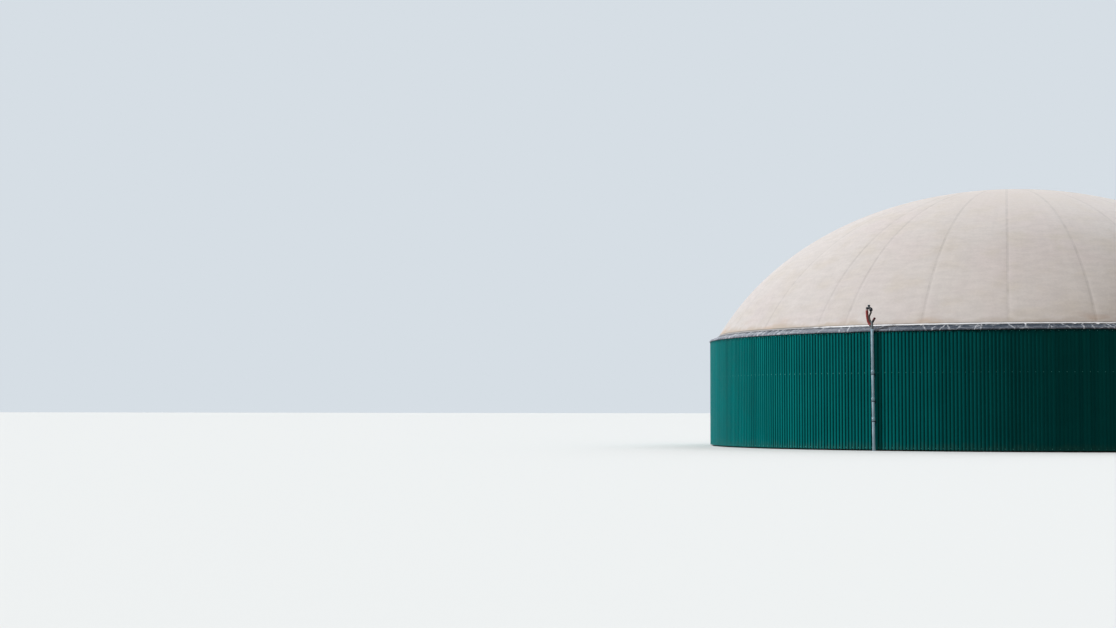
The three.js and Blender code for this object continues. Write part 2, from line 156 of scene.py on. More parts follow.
class Bench:
    """Blender's modelling tools, used on one piece at a time as by hand."""

    @staticmethod
    def hold(*pieces: Piece) -> None:
        """Select pieces alone, the first of them active.

        Args:
            *pieces: The pieces.
        """
        bpy.ops.object.select_all(action="DESELECT")
        for piece in pieces:
            piece.select_set(True)
        bpy.context.view_layer.objects.active = pieces[0]

    @staticmethod
    def start(name: str, add: Callable[..., object], **settings: object) -> Piece:
        """Add a new piece with nothing else selected.

        Args:
            name: Name of the piece.
            add: Operator that adds it.
            **settings: The operator's settings.

        Returns:
            The piece.
        """
        bpy.ops.object.select_all(action="DESELECT")
        add(**settings)
        bpy.context.object.name = name
        return bpy.context.object

    @staticmethod
    @contextmanager
    def editing(piece: Piece) -> Iterator[None]:
        """Edit a piece with all of it selected, and leave edit mode at the end.

        Args:
            piece: The piece.
        """
        Bench.hold(piece)
        bpy.ops.object.mode_set(mode="EDIT")
        Bench.pick_all()
        yield
        bpy.ops.object.mode_set(mode="OBJECT")

    @staticmethod
    def pick_all() -> None:
        """Select the whole piece in edit mode."""
        bpy.ops.mesh.select_all(action="SELECT")

    @staticmethod
    def pick(element: Element, wanted: Callable[[Vector], bool]) -> None:
        """Select the elements of the piece in edit mode whose middle is wanted.

        Args:
            element: The kind of element.
            wanted: Says of a middle point whether its element is selected.
        """
        bpy.ops.mesh.select_mode(type=element.value)
        bpy.ops.mesh.select_all(action="DESELECT")
        mesh = bmesh.from_edit_mesh(bpy.context.edit_object.data)
        kinds = {Element.VERTEX: mesh.verts, Element.EDGE: mesh.edges, Element.FACE: mesh.faces}
        for part in kinds[element]:
            corners = [part] if element is Element.VERTEX else part.verts
            if wanted(sum((corner.co for corner in corners), Vector()) / len(corners)):
                part.select_set(True)
        bmesh.update_edit_mesh(bpy.context.edit_object.data)

    @staticmethod
    def extrude(move: Vector) -> None:
        """Extrude what is selected along a move."""
        bpy.ops.mesh.extrude_region_move(TRANSFORM_OT_translate={"value": move})

    @staticmethod
    def sweep(bearing: float, steps: int, copies: bool = False) -> None:
        """Spin what is selected round the tank.

        Args:
            bearing: Bearing from the first step to the last.
            steps: Number of steps.
            copies: Whether each step leaves a copy, and not all of them one skin.
        """
        bpy.ops.mesh.spin(steps=steps, angle=math.radians(bearing), dupli=copies, center=CENTRE, axis=AXIS)
        if copies:
            Bench.pick_all()

    @staticmethod
    def weld(reach: float = 1e-5) -> None:
        """Merge the selected points that lie within reach, and turn the faces outwards."""
        bpy.ops.mesh.remove_doubles(threshold=reach)
        bpy.ops.mesh.normals_make_consistent(inside=False)

    @staticmethod
    def swept(name: str, points: Sequence[Vector], bearings: Sequence[float], steps: int = 1) -> Piece:
        """Draw a line through points, and sweep it round the tank from stop to stop.

        Args:
            name: Name of the new piece.
            points: Points of the line in order.
            bearings: Bearings from each stop to the next.
            steps: Number of steps to a stop.

        Returns:
            The swept piece.
        """
        piece = Bench.start(name, bpy.ops.mesh.primitive_plane_add, size=0.1, location=CENTRE)
        with Bench.editing(piece):
            bpy.ops.mesh.select_mode(type=Element.VERTEX.value)
            Bench.pick_all()
            bpy.ops.mesh.merge(type="CENTER")
            bpy.ops.transform.translate(value=points[0])
            for start, end in zip(points, points[1:]):
                Bench.extrude(end - start)
        with Bench.editing(piece):
            for bearing in bearings:
                Bench.sweep(bearing, steps)
            Bench.pick_all()
            Bench.weld()
        return piece

    @staticmethod
    def turned(name: str, profile: Profile, steps: int, place: Matrix = STILL) -> Piece:
        """Turn a profile once round the upright axis, and move the piece to its place."""
        points = [Vector((radius, 0, height)) for radius, height in profile]
        return Bench.settle(Bench.swept(name, points, [360], steps), place)

    @staticmethod
    def tube(name: str, points: Sequence[Vector], radius: float) -> Piece:
        """Bend a round rod along a smooth curve.

        Args:
            name: Name of the new piece.
            points: Control points of Bezier spans, each span's ends shared, as 3n + 1 points.
            radius: Radius of the rod.

        Returns:
            The rod as a closed mesh.
        """
        rod = Bench.start(name, bpy.ops.curve.primitive_bezier_curve_add, location=CENTRE)
        points = [points[0] * 2 - points[1], *points, points[-1] * 2 - points[-2]]
        spline = rod.data.splines[0]
        spline.bezier_points.add(len(points) // 3 - 2)
        for place, knot in enumerate(spline.bezier_points):
            knot.handle_left_type = knot.handle_right_type = "FREE"
            knot.handle_left, knot.co, knot.handle_right = points[3 * place : 3 * place + 3]
        rod.data.dimensions = "3D"
        rod.data.resolution_u = 24
        rod.data.bevel_depth = radius
        rod.data.bevel_resolution = 8
        rod.data.use_fill_caps = True
        bpy.ops.object.convert(target="MESH")
        rod = bpy.context.object
        with Bench.editing(rod):
            Bench.weld()
        return rod

    @staticmethod
    def copy(piece: Piece, name: str, place: Matrix) -> Piece:
        """Copy a piece, with a mesh of its own, to a place.

        Args:
            piece: The piece.
            name: Name of the copy.
            place: Move from the piece to the copy.

        Returns:
            The copy.
        """
        Bench.hold(piece)
        bpy.ops.object.duplicate()
        bpy.context.object.name = name
        return Bench.settle(bpy.context.object, place)

    @staticmethod
    def settle(piece: Piece, place: Matrix = STILL) -> Piece:
        """Move a piece, and put its place in its mesh.

        Args:
            piece: The piece.
            place: The move.

        Returns:
            The piece.
        """
        piece.matrix_world = place @ piece.matrix_world
        Bench.hold(piece)
        bpy.ops.object.transform_apply(location=True, rotation=True, scale=True)
        return piece

    @staticmethod
    def join(name: str, *pieces: Piece) -> Piece:
        """Join pieces into one.

        Args:
            name: Name of the whole.
            *pieces: The pieces.

        Returns:
            The whole.
        """
        Bench.hold(*pieces)
        if len(pieces) > 1:
            bpy.ops.object.join()
        pieces[0].name = name
        return pieces[0]

    @staticmethod
    def modify(piece: Piece, kind: str, **settings: object) -> None:
        """Add a modifier to a piece and apply it.

        Args:
            piece: The piece.
            kind: Blender's name of the modifier.
            **settings: The modifier's own settings.
        """
        Bench.hold(piece)
        bpy.ops.object.modifier_add(type=kind)
        modifier = piece.modifiers[-1]
        for name, value in settings.items():
            setattr(modifier, name, value)
        bpy.ops.object.modifier_apply(modifier=modifier.name)

    @staticmethod
    def soften(piece: Piece, angle: float = 30) -> None:
        """Shade a piece smooth except at edges sharper than an angle in degrees."""
        Bench.hold(piece)
        bpy.ops.object.shade_smooth_by_angle(angle=math.radians(angle))

    @staticmethod
    def face_up(piece: Piece) -> None:
        """Turn an open sheet's faces over where they point down."""
        if piece.data.polygons[0].normal.z < 0:
            piece.data.flip_normals()

    @staticmethod
    def note(piece: Piece, name: str, values: Sequence[float], domain: str = "POINT") -> None:
        """Write a value for each point or face of a piece, for its shader to read."""
        piece.data.attributes.new(name, "FLOAT", domain).data.foreach_set("value", values)

    @staticmethod
    def unroll(piece: Piece, radius: float, along: Callable[[Vector], float]) -> None:
        """Give a piece the UV map "unrolled", in metres round the tank and along the piece.

        Args:
            piece: The piece.
            radius: Radius at which a metre round the tank is a metre of the map.
            along: Length along the piece at a point.
        """
        mesh = piece.data
        layer = mesh.uv_layers.new(name="unrolled")
        for face in mesh.polygons:
            middle = bearing_of(face.center)
            for corner in face.loop_indices:
                point = mesh.vertices[mesh.loops[corner].vertex_index].co
                turn = middle if radius_of(point) < 0.01 else bearing_of(point)
                turn += 360 * round((middle - turn) / 360)
                layer.data[corner].uv = (math.radians(turn) * radius, along(point))


class Slot(Enum):
    """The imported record's material slots."""

    CONCRETE = "concrete"
    TIMBER = "timber"
    GREEN_SHEET = "green_sheet"
    SLATE_MEMBRANE = "slate_membrane"
    BEIGE_MEMBRANE = "beige_membrane"
    WHITE_PLASTIC = "white_plastic"
    GREY_PLASTIC = "grey_plastic"
    RED_PLASTIC = "red_plastic"
    BLACK_PLASTIC = "black_plastic"
    BLUE_GREY_PLASTIC = "blue_grey_plastic"
    PALE_RUBBER = "pale_rubber"
    GALVANISED = "galvanised"


class NodeBench:
    """A tree of shader nodes, added and wired one at a time."""

    def __init__(self, tree: bpy.types.NodeTree) -> None:
        """Start from the tree with nothing in it."""
        self.tree = tree
        tree.nodes.clear()

    def feed(self, target: Socket, source: Source) -> None:
        """Wire a socket to its source, or set it where the source is a plain value.

        Args:
            target: The socket.
            source: What it gets.
        """
        if isinstance(source, Socket):
            self.tree.links.new(source, target)
        elif isinstance(source, tuple) and target.type == "RGBA":
            target.default_value = (*source, 1)
        else:
            target.default_value = source

    def node(self, kind: str, feeds: dict[str | int, Source], **settings: str) -> bpy.types.ShaderNode:
        """Add a node.

        Args:
            kind: Blender's name of its type.
            feeds: What its inputs get, by their name or number.
            **settings: Its own settings.

        Returns:
            The node.
        """
        node = self.tree.nodes.new(kind)
        for name, value in settings.items():
            setattr(node, name, value)
        for key, source in feeds.items():
            self.feed(node.inputs[key], source)
        return node

    def ramp(self, value: Socket, low: float, high: float, start: Source = 0, end: Source = 1) -> Socket:
        """Lead a value smoothly from start to end as it goes from low to high."""
        feeds = {"Value": value, "From Min": low, "From Max": high, "To Min": start, "To Max": end}
        return self.node("ShaderNodeMapRange", feeds, interpolation_type="SMOOTHSTEP").outputs["Result"]


class ShaderBench(NodeBench):
    """The nodes of one material: a principled shader, and a colour that is laid on in coats."""

    def __init__(self, name: str) -> None:
        """Start a material.

        Args:
            name: Name of the material.
        """
        self.material = bpy.data.materials.new(name)
        self.material.use_nodes = True
        super().__init__(self.material.node_tree)
        self.shader = self.node("ShaderNodeBsdfPrincipled", {})
        self.node("ShaderNodeOutputMaterial", {"Surface": self.shader.outputs["BSDF"]})
        self.place = self.node("ShaderNodeTexCoord", {}).outputs["Object"]
        self.colour: Source = CENTRE

    def attribute(self, name: str) -> Socket:
        """Value of one of the mesh's own attributes."""
        return self.node("ShaderNodeAttribute", {}, attribute_name=name).outputs["Fac"]

    def along(self, axis: str) -> Socket:
        """Place along one of the tank's axes."""
        return self.node("ShaderNodeSeparateXYZ", {0: self.place}).outputs[axis]

    def across(self) -> Socket:
        """Place from the tank's middle toward +X."""
        return self.along("X")

    def height(self) -> Socket:
        """Height over the floor."""
        return self.along("Z")

    def unrolled(self, around: float, along: float) -> Socket:
        """Scale the place on the map "unrolled".

        Args:
            around: Scale round the tank.
            along: Scale along the piece.

        Returns:
            The scaled place.
        """
        chart = self.node("ShaderNodeUVMap", {}, uv_map="unrolled").outputs["UV"]
        feeds = {"Vector": chart, "Scale": (around, along, 1)}
        return self.node("ShaderNodeMapping", feeds).outputs["Vector"]

    def cloud(self, scale: float, detail: float, place: Socket | None = None) -> Socket:
        """Soft noise from 0 to 1, with this many patches in a metre and this many finer octaves."""
        feeds = {"Vector": place or self.place, "Scale": scale, "Detail": detail}
        return self.node("ShaderNodeTexNoise", feeds).outputs[0]

    def grain(self, around: float, along: float, detail: float) -> Socket:
        """Soft noise with so many patches in a metre round the tank and along the piece."""
        return self.cloud(1, detail, self.unrolled(around, along))

    def crackle(self, place: Socket, width: float) -> Socket:
        """Net of bent lines, as in crumpled foil.

        Args:
            place: Where the net is read.
            width: How far off a line its value has gone from 1 to 0.

        Returns:
            The net.
        """
        drift = self.node("ShaderNodeTexNoise", {"Vector": place, "Scale": 1.7}).outputs["Color"]
        sway = {0: drift, 1: (0.7, 0.7, 0), 2: place}
        bent = self.node("ShaderNodeVectorMath", sway, operation="MULTIPLY_ADD").outputs[0]
        cells = self.node("ShaderNodeTexVoronoi", {"Vector": bent, "Scale": 1}, feature="DISTANCE_TO_EDGE")
        return self.ramp(cells.outputs["Distance"], 0, width, 1, 0)

    def spread(self, cloud: Socket, start: float, end: float) -> Socket:
        """Lead a noise from start to end over the range that it mostly keeps to."""
        return self.ramp(cloud, 0.3, 0.7, start, end)

    def sum(self, operation: str, first: Source, second: Source) -> Socket:
        """Work out one sum of two values."""
        return self.node("ShaderNodeMath", {0: first, 1: second}, operation=operation).outputs[0]

    def lay(self, colour: Source, share: Source, blend: str = "MIX") -> None:
        """Blend a share of a colour over the coats so far."""
        feeds = {0: share, 6: self.colour, 7: colour}
        self.colour = self.node("ShaderNodeMix", feeds, data_type="RGBA", blend_type=blend).outputs[2]

    def dim(self, level: Socket) -> None:
        """Multiply the coats so far by a level of grey."""
        grey = self.node("ShaderNodeCombineColor", {0: level, 1: level, 2: level})
        self.lay(grey.outputs[0], 1.0, "MULTIPLY")

    def relief(self, height: Socket, depth: float) -> None:
        """Bump the surface, over what is bumped already.

        Args:
            height: Height from 0 to 1.
            depth: Depth of the whole relief.
        """
        bump = self.node("ShaderNodeBump", {"Distance": depth, "Height": height})
        for earlier in self.shader.inputs["Normal"].links:
            self.feed(bump.inputs["Normal"], earlier.from_socket)
        self.feed(self.shader.inputs["Normal"], bump.outputs["Normal"])

    def wear(self, roughness: Source, **fixed: float) -> None:
        """Finish the shader with the coats.

        Args:
            roughness: Roughness.
            **fixed: Other sockets of the shader, by name with _ for a space.
        """
        self.feed(self.shader.inputs["Base Color"], self.colour)
        self.feed(self.shader.inputs["Roughness"], roughness)
        for name, value in fixed.items():
            self.shader.inputs[name.replace("_", " ")].default_value = value


@dataclass(frozen=True)
class Finish:
    """A finish that a piece is dressed in."""

    name: str
    slot: Slot

    def wire(self, bench: ShaderBench) -> None:
        """Wire the finish's own nodes."""
        raise NotImplementedError


@cache
def material_of(finish: Finish) -> bpy.types.Material:
    """Material of a finish, made once.

    Args:
        finish: The finish.

    Returns:
        The material.
    """
    bench = ShaderBench(finish.name)
    finish.wire(bench)
    return bench.material


@dataclass(frozen=True)
class GasMembraneFinish(Finish):
    """Coated fabric of the dome: welded seams, scuffs round it, rain streaks and a soiled foot."""

    cloth: Colour = (0.600, 0.549, 0.513)
    rosy: Colour = (0.597, 0.534, 0.503)
    sandy: Colour = (0.577, 0.518, 0.462)
    # colour of the crown's painted shade
    crown_shade: Colour = (0.5, 0.43, 0.375)
    grime: Colour = paint(184, 169, 153)
    rust: Colour = paint(190, 158, 128)
    foot_height: float = 4.65
    seam_core: float = 0.0124
    seam_edge: float = 0.0558

    def wire(self, bench: ShaderBench) -> None:
        """Wire the fabric: tints, scuffs, streaks, seams, the foot's grime, painted light on the lower cloth
        and painted shade on the crown.

        Args:
            bench: The material's nodes.
        """
        bench.colour = self.cloth
        bench.lay(self.rosy, bench.ramp(bench.cloud(0.33, 3), 0.4, 0.62))
        bench.lay(self.sandy, bench.ramp(bench.grain(0.5, 0.8, 5), 0.45, 0.68, 0, 0.8))
        scuffs = bench.grain(1.3, 4.5, 5)
        bench.dim(bench.spread(scuffs, 1.035, 0.96))
        bench.dim(bench.ramp(bench.grain(3.1, 0.25, 3), 0.35, 0.75, 1.0, 0.97))
        speckle = bench.cloud(11, 4)
        bench.dim(bench.spread(speckle, 1.02, 0.975))
        over_foot = bench.sum("SUBTRACT", bench.height(), self.foot_height)
        # painted light: the lower cloth is paler toward +X, the side away from the key light
        foot_light_gain = bench.ramp(bench.across(), -8.5, 3.5, 0.99, 1.3)
        bench.dim(bench.ramp(over_foot, 0.3, 3.8, foot_light_gain, 1.0))
        # painted shade: the crown is darker toward +X, the side away from the key light
        crown_shade_share = bench.ramp(bench.across(), -6, 1.5, 0, 0.75)
        bench.lay(self.crown_shade, bench.ramp(over_foot, 3.6, 5.7, 0, crown_shade_share))
        worn = bench.ramp(bench.cloud(1.9, 3), 0.35, 0.65, 0.94, 0.87)
        worn = bench.ramp(bench.across(), -8.5, -5, 0.92, worn)
        seam = bench.ramp(bench.attribute("seam"), self.seam_core, self.seam_edge)
        bench.dim(bench.sum("MAXIMUM", seam, worn))
        ragged = bench.sum("ADD", over_foot, bench.spread(bench.grain(1.1, 1.1, 4), -0.09, 0.09))
        soiled = bench.ramp(bench.across(), -6.6, -4.2, 0.9, 0.42)
        bench.lay(self.grime, bench.ramp(ragged, 0.0, 0.2, soiled, 0))
        # darker in the lowest few centimetres of the cloth, where it meets the clamping edge
        bench.dim(bench.ramp(over_foot, 0.008, 0.035, 0.7, 1.0))
        stain = bench.ramp(bench.grain(0.55, 1.4, 3), 0.5, 0.68, 0, 0.5)
        bench.lay(self.rust, bench.sum("MULTIPLY", stain, bench.ramp(over_foot, 0.03, 0.55, 1, 0)))
        bench.relief(bench.cloud(260, 2), 0.0006)
        bench.relief(scuffs, 0.0015)
        bench.relief(bench.grain(1.1, 0.45, 3), 0.015)
        bench.wear(bench.spread(speckle, 0.5, 0.6), Specular_IOR_Level=0.2)


@dataclass(frozen=True)
class SheetPaintFinish(Finish):
    """Stove-dried paint on trapezoidal sheet: a tone for each sheet, rain streaks and a dusty foot."""

    coat: Colour = (0.0005, 0.204, 0.201)
    chalked: Colour = (0.003, 0.234, 0.213)
    dust: Colour = paint(84, 112, 96)
    hem: float = 4.374
    hem_shade: float = 0.11

    def wire(self, bench: ShaderBench) -> None:
        """Wire the paint: chalking in streaks, the sheets' tones with painted light and shade, a painted
        shadow under the hem and dust.

        Args:
            bench: The material's nodes.
        """
        bench.colour = self.coat
        streaks = bench.grain(9, 0.35, 4)
        bench.lay(self.chalked, bench.ramp(streaks, 0.35, 0.75, 0, 0.6))
        # the tone attribute carries random sheet and rib tones, and painted light and shade by bearing and in
        # the valleys
        bench.dim(bench.attribute("tone"))
        patches = bench.cloud(0.8, 4)
        bench.dim(bench.spread(patches, 0.95, 1.04))
        # painted shadow of the apron along the sheets' top edge
        hem_shadow_edge = bench.sum("ADD", bench.height(), bench.spread(streaks, -0.03, 0.05))
        bench.dim(bench.ramp(hem_shadow_edge, self.hem - self.hem_shade, self.hem, 1.0, 0.5))
        splash = bench.sum("ADD", bench.height(), bench.spread(bench.cloud(5, 4), -0.1, 0.1))
        bench.lay(self.dust, bench.ramp(splash, 0.05, 0.4, 0.16, 0))
        bench.relief(bench.cloud(900, 1), 0.00008)
        bench.relief(bench.grain(1.6, 0.7, 2), 0.001)
        bench.wear(bench.spread(patches, 0.38, 0.48), Specular_IOR_Level=0.026)


@dataclass(frozen=True)
class ApronFinish(Finish):
    """Slate foil of the weather apron: pale creases, stress whitening with painted highlights; a paler hem;
    painted light toward the key light and painted shade under the clamp.
    """

    foil: Colour = paint(54, 63, 75)
    faded_and_lit: Colour = paint(138, 141, 148)
    clamp_shade: Colour = paint(40, 47, 55)
    crease_white_and_highlight: Colour = paint(226, 228, 232)
    hem: Colour = paint(122, 127, 137)

    def wire(self, bench: ShaderBench) -> None:
        """Wire the foil: fading with painted light toward the key light, painted shade at the top, a paler
        hem with a painted highlight, pale creases with painted highlights and a fine crumple.

        Args:
            bench: The material's nodes.
        """
        bench.colour = self.foil
        drop = bench.attribute("drop")
        # painted light: the foil is paler on the side toward the key light, on top of random faded patches
        painted_light = bench.sum("MULTIPLY", bench.attribute("age"), 1.05)
        patches = bench.ramp(bench.grain(1.3, 5, 5), 0.4, 0.66, -0.3, 0.12)
        bench.lay(self.faded_and_lit, bench.sum("ADD", patches, painted_light))
        # painted shade under the clamping edge, over the apron's upper part
        bench.lay(self.clamp_shade, bench.ramp(drop, 0.04, 0.5, 0.85, 0))
        # paler hem: the welded double layer, with a painted highlight along the rolled lower edge
        ragged = bench.sum("ADD", drop, bench.spread(bench.grain(2.5, 0.6, 4), -0.12, 0.12))
        bench.lay(self.hem, bench.ramp(ragged, 0.55, 0.9, 0, 0.5))
        dust = bench.grain(14, 3, 4)
        bench.dim(bench.spread(dust, 0.85, 1.12))
        scratched = bench.ramp(bench.grain(5, 9, 3), 0.4, 0.6, 0.45, 1)
        crease = bench.sum("MULTIPLY", bench.attribute("crease"), scratched)
        net = bench.crackle(bench.unrolled(2.4, 2.8), 0.09)
        shown = bench.ramp(bench.grain(1.1, 1.1, 3), 0.48, 0.64, 0.06, 0.62)
        # creases and the crumple net are paler: stress whitening with painted highlights
        bench.lay(self.crease_white_and_highlight, bench.sum("MAXIMUM", crease, bench.sum("MULTIPLY", net, shown)))
        bench.relief(net, 0.008)
        bench.relief(bench.grain(9, 5, 4), 0.014)
        bench.relief(bench.grain(60, 60, 3), 0.001)
        bench.wear(bench.spread(dust, 0.42, 0.55), Specular_IOR_Level=0.06)


@dataclass(frozen=True)
class PlasticFinish(Finish):
    """Moulded or extruded plastic, or rubber: dusty in faint clouds, and finely pitted."""

    body: Screen
    dusty: Screen
    roughness: float
    level: float = 0.5
    metallic: float = 0.0
    clouds: float = 4.8
    pits: float = 240

    def soil(self, bench: ShaderBench) -> None:
        """Lay no dirt on plain plastic."""

    def wire(self, bench: ShaderBench) -> None:
        """Wire the plastic: clouding, dust and a fine grain.

        Args:
            bench: The material's nodes.
        """
        bench.colour = paint(*self.body)
        clouds = bench.cloud(self.clouds, 4)
        bench.lay(paint(*self.dusty), bench.ramp(clouds, 0.35, 0.7, 0, 0.6))
        self.soil(bench)
        bench.relief(bench.cloud(self.pits, 2), 0.0003)
        roughness = bench.spread(clouds, self.roughness - 0.06, self.roughness + 0.08)
        bench.wear(roughness, Specular_IOR_Level=self.level, Metallic=self.metallic)


@dataclass(frozen=True)
class EdgeFinish(PlasticFinish):
    """White strip round the membranes, greyed by dirt along the tank's weather side."""

    soiled: Colour = paint(146, 141, 137)
    weather_side: tuple[float, float] = (-7.6, -5.7)

    def soil(self, bench: ShaderBench) -> None:
        """Grey the weather side in patches."""
        side = bench.sum("ADD", bench.across(), bench.spread(bench.cloud(2.2, 4), -0.9, 0.9))
        bench.lay(self.soiled, bench.ramp(side, *self.weather_side, 0.9, 0))


@dataclass(frozen=True)
class ZincFinish(Finish):
    """Hot-dip zinc: dull spangle and a fine grain."""

    bright: Colour
    dull: Colour
    metallic: float

    def wire(self, bench: ShaderBench) -> None:
        """Wire the zinc: spangle and grain.

        Args:
            bench: The material's nodes.
        """
        spangle = bench.node("ShaderNodeTexVoronoi", {"Vector": bench.place, "Scale": 90})
        split = bench.node("ShaderNodeSeparateColor", {0: spangle.outputs["Color"]}).outputs
        bench.colour = self.dull
        bench.lay(self.bright, split[0])
        bench.relief(bench.cloud(160, 2), 0.0003)
        bench.wear(bench.ramp(split[1], 0, 1, 0.4, 0.6), Metallic=self.metallic)


@dataclass(frozen=True)
class ConcreteFinish(Finish):
    """Cast concrete: stains, pores and damp at the foot."""

    dry: Colour = paint(158, 155, 147)
    stained: Colour = paint(118, 115, 107)

    def wire(self, bench: ShaderBench) -> None:
        """Wire the concrete: stains, pores and damp.

        Args:
            bench: The material's nodes.
        """
        bench.colour = self.dry
        bench.lay(self.stained, bench.ramp(bench.cloud(0.9, 6), 0.35, 0.7))
        bench.lay(self.stained, bench.ramp(bench.height(), 0.0, 0.5, 0.5, 0))
        pores = bench.cloud(45, 5)
        bench.dim(bench.spread(pores, 0.85, 1.08))
        bench.relief(pores, 0.004)
        bench.wear(bench.spread(pores, 0.8, 0.95))


@dataclass(frozen=True)
class TimberFinish(Finish):
    """Sawn softwood rail: grain round the tank."""

    pale: Colour = paint(150, 118, 78)
    dark: Colour = paint(104, 76, 47)

    def wire(self, bench: ShaderBench) -> None:
        """Wire the wood: long grain in its colour, its bump and its roughness.

        Args:
            bench: The material's nodes.
        """
        grain = bench.grain(1.5, 60, 6)
        bench.colour = self.pale
        bench.lay(self.dark, bench.ramp(grain, 0.35, 0.65))
        bench.relief(grain, 0.002)
        bench.wear(bench.spread(grain, 0.7, 0.85))


CONCRETE = ConcreteFinish("cast_concrete", Slot.CONCRETE)
TIMBER = TimberFinish("sawn_rail", Slot.TIMBER)
GREEN_SHEET = SheetPaintFinish("green_sheet_paint", Slot.GREEN_SHEET)
APRON_FOIL = ApronFinish("apron_foil", Slot.SLATE_MEMBRANE)
GAS_MEMBRANE = GasMembraneFinish("gas_membrane", Slot.BEIGE_MEMBRANE)
WHITE_EDGE = EdgeFinish("white_edge", Slot.WHITE_PLASTIC, (240, 240, 241), (218, 216, 214), 0.55)
PIPE_GREY = PlasticFinish(
    "pipe_grey", Slot.GREY_PLASTIC, (180, 206, 216), (200, 218, 224), 0.5, metallic=0.75
)
FITTING_GREY = PlasticFinish("fitting_grey", Slot.GREY_PLASTIC, (118, 126, 128), (140, 146, 146), 0.42)
HOSE_GREY = PlasticFinish("hose_grey", Slot.GREY_PLASTIC, (84, 85, 80), (100, 96, 90), 0.5, level=0.3)
RED_BROWN = PlasticFinish("red_brown", Slot.RED_PLASTIC, (168, 70, 66), (182, 98, 94), 0.42, level=0.35)
MAROON = PlasticFinish("maroon", Slot.RED_PLASTIC, (88, 28, 28), (112, 50, 48), 0.45, level=0.3)
BLACK = PlasticFinish("black_fitting", Slot.BLACK_PLASTIC, (17, 19, 22), (34, 37, 41), 0.45)
BLUE_GREY = PlasticFinish("blue_grey_knob", Slot.BLUE_GREY_PLASTIC, (54, 74, 84), (78, 98, 108), 0.35)
PALE_RUBBER = PlasticFinish("pale_rubber", Slot.PALE_RUBBER, (236, 210, 206), (214, 190, 186), 0.6)
SCREW_CAPS = PlasticFinish("screw_caps", Slot.GALVANISED, (112, 216, 206), (150, 236, 226), 0.5)
WEATHERED_ZINC = ZincFinish("weathered_zinc", Slot.GALVANISED, paint(62, 68, 74), paint(40, 45, 50), 0.3)


def mount(piece: Piece, finish: Finish, *nodes: str) -> Piece:
    """Dress a piece, fix it to the tank and let it stand for nodes of the frame.

    Args:
        piece: The piece, in place.
        finish: Its finish.
        *nodes: The nodes that it replaces.

    Returns:
        The piece.
    """
    piece.data.materials.clear()
    piece.data.materials.append(material_of(finish))
    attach(piece, "root")
    if nodes:
        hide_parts(*nodes)
    triangles = sum(len(face.vertices) - 2 for face in piece.data.polygons)
    LOG.info("%s: %s, %d triangles, for %s", piece.name, finish.name, triangles, ", ".join(nodes) or "itself")
    return piece


@dataclass
class PhotoCamera:
    """The camera, where the photograph was taken."""

    distance: float = 82.01
    eye_height: float = 1.405
    heading: float = 13.345
    pitch: float = 2.957
    roll: float = 0.074
    focal_pixels: float = 1898.15
    frame_pixels: float = 1116
    film_width: float = 36
    farthest: float = 4000

    def build(self) -> None:
        """Place the camera and make it the scene's."""
        place = (0, -self.distance, self.eye_height)
        camera = Bench.start("photo_camera", bpy.ops.object.camera_add, location=place)
        aim = rotation(self.heading, "Z") @ rotation(90 + self.pitch, "X") @ rotation(self.roll, "Z")
        camera.rotation_euler = aim.to_euler()
        camera.data.sensor_width = self.film_width
        camera.data.lens = self.film_width * self.focal_pixels / self.frame_pixels
        camera.data.clip_end = self.farthest
        bpy.context.scene.camera = camera


@dataclass(frozen=True)
class Lamp:
    """A soft lamp far away: where its light comes from, how strong, how wide and what colour."""

    name: str
    bearing: float
    height: float
    power: float
    angle: float
    colour: Colour
    away: float = 60

    def build(self) -> None:
        """Hang the lamp."""
        place = on_ring(self.away, self.bearing, self.away)
        lamp = Bench.start(self.name, bpy.ops.object.light_add, type="SUN", location=place)
        height = math.radians(self.height)
        source = on_ring(math.cos(height), self.bearing, math.sin(height))
        lamp.rotation_euler = source.to_track_quat("Z", "Y").to_euler()
        lamp.data.energy = self.power
        lamp.data.angle = math.radians(self.angle)
        lamp.data.color = self.colour


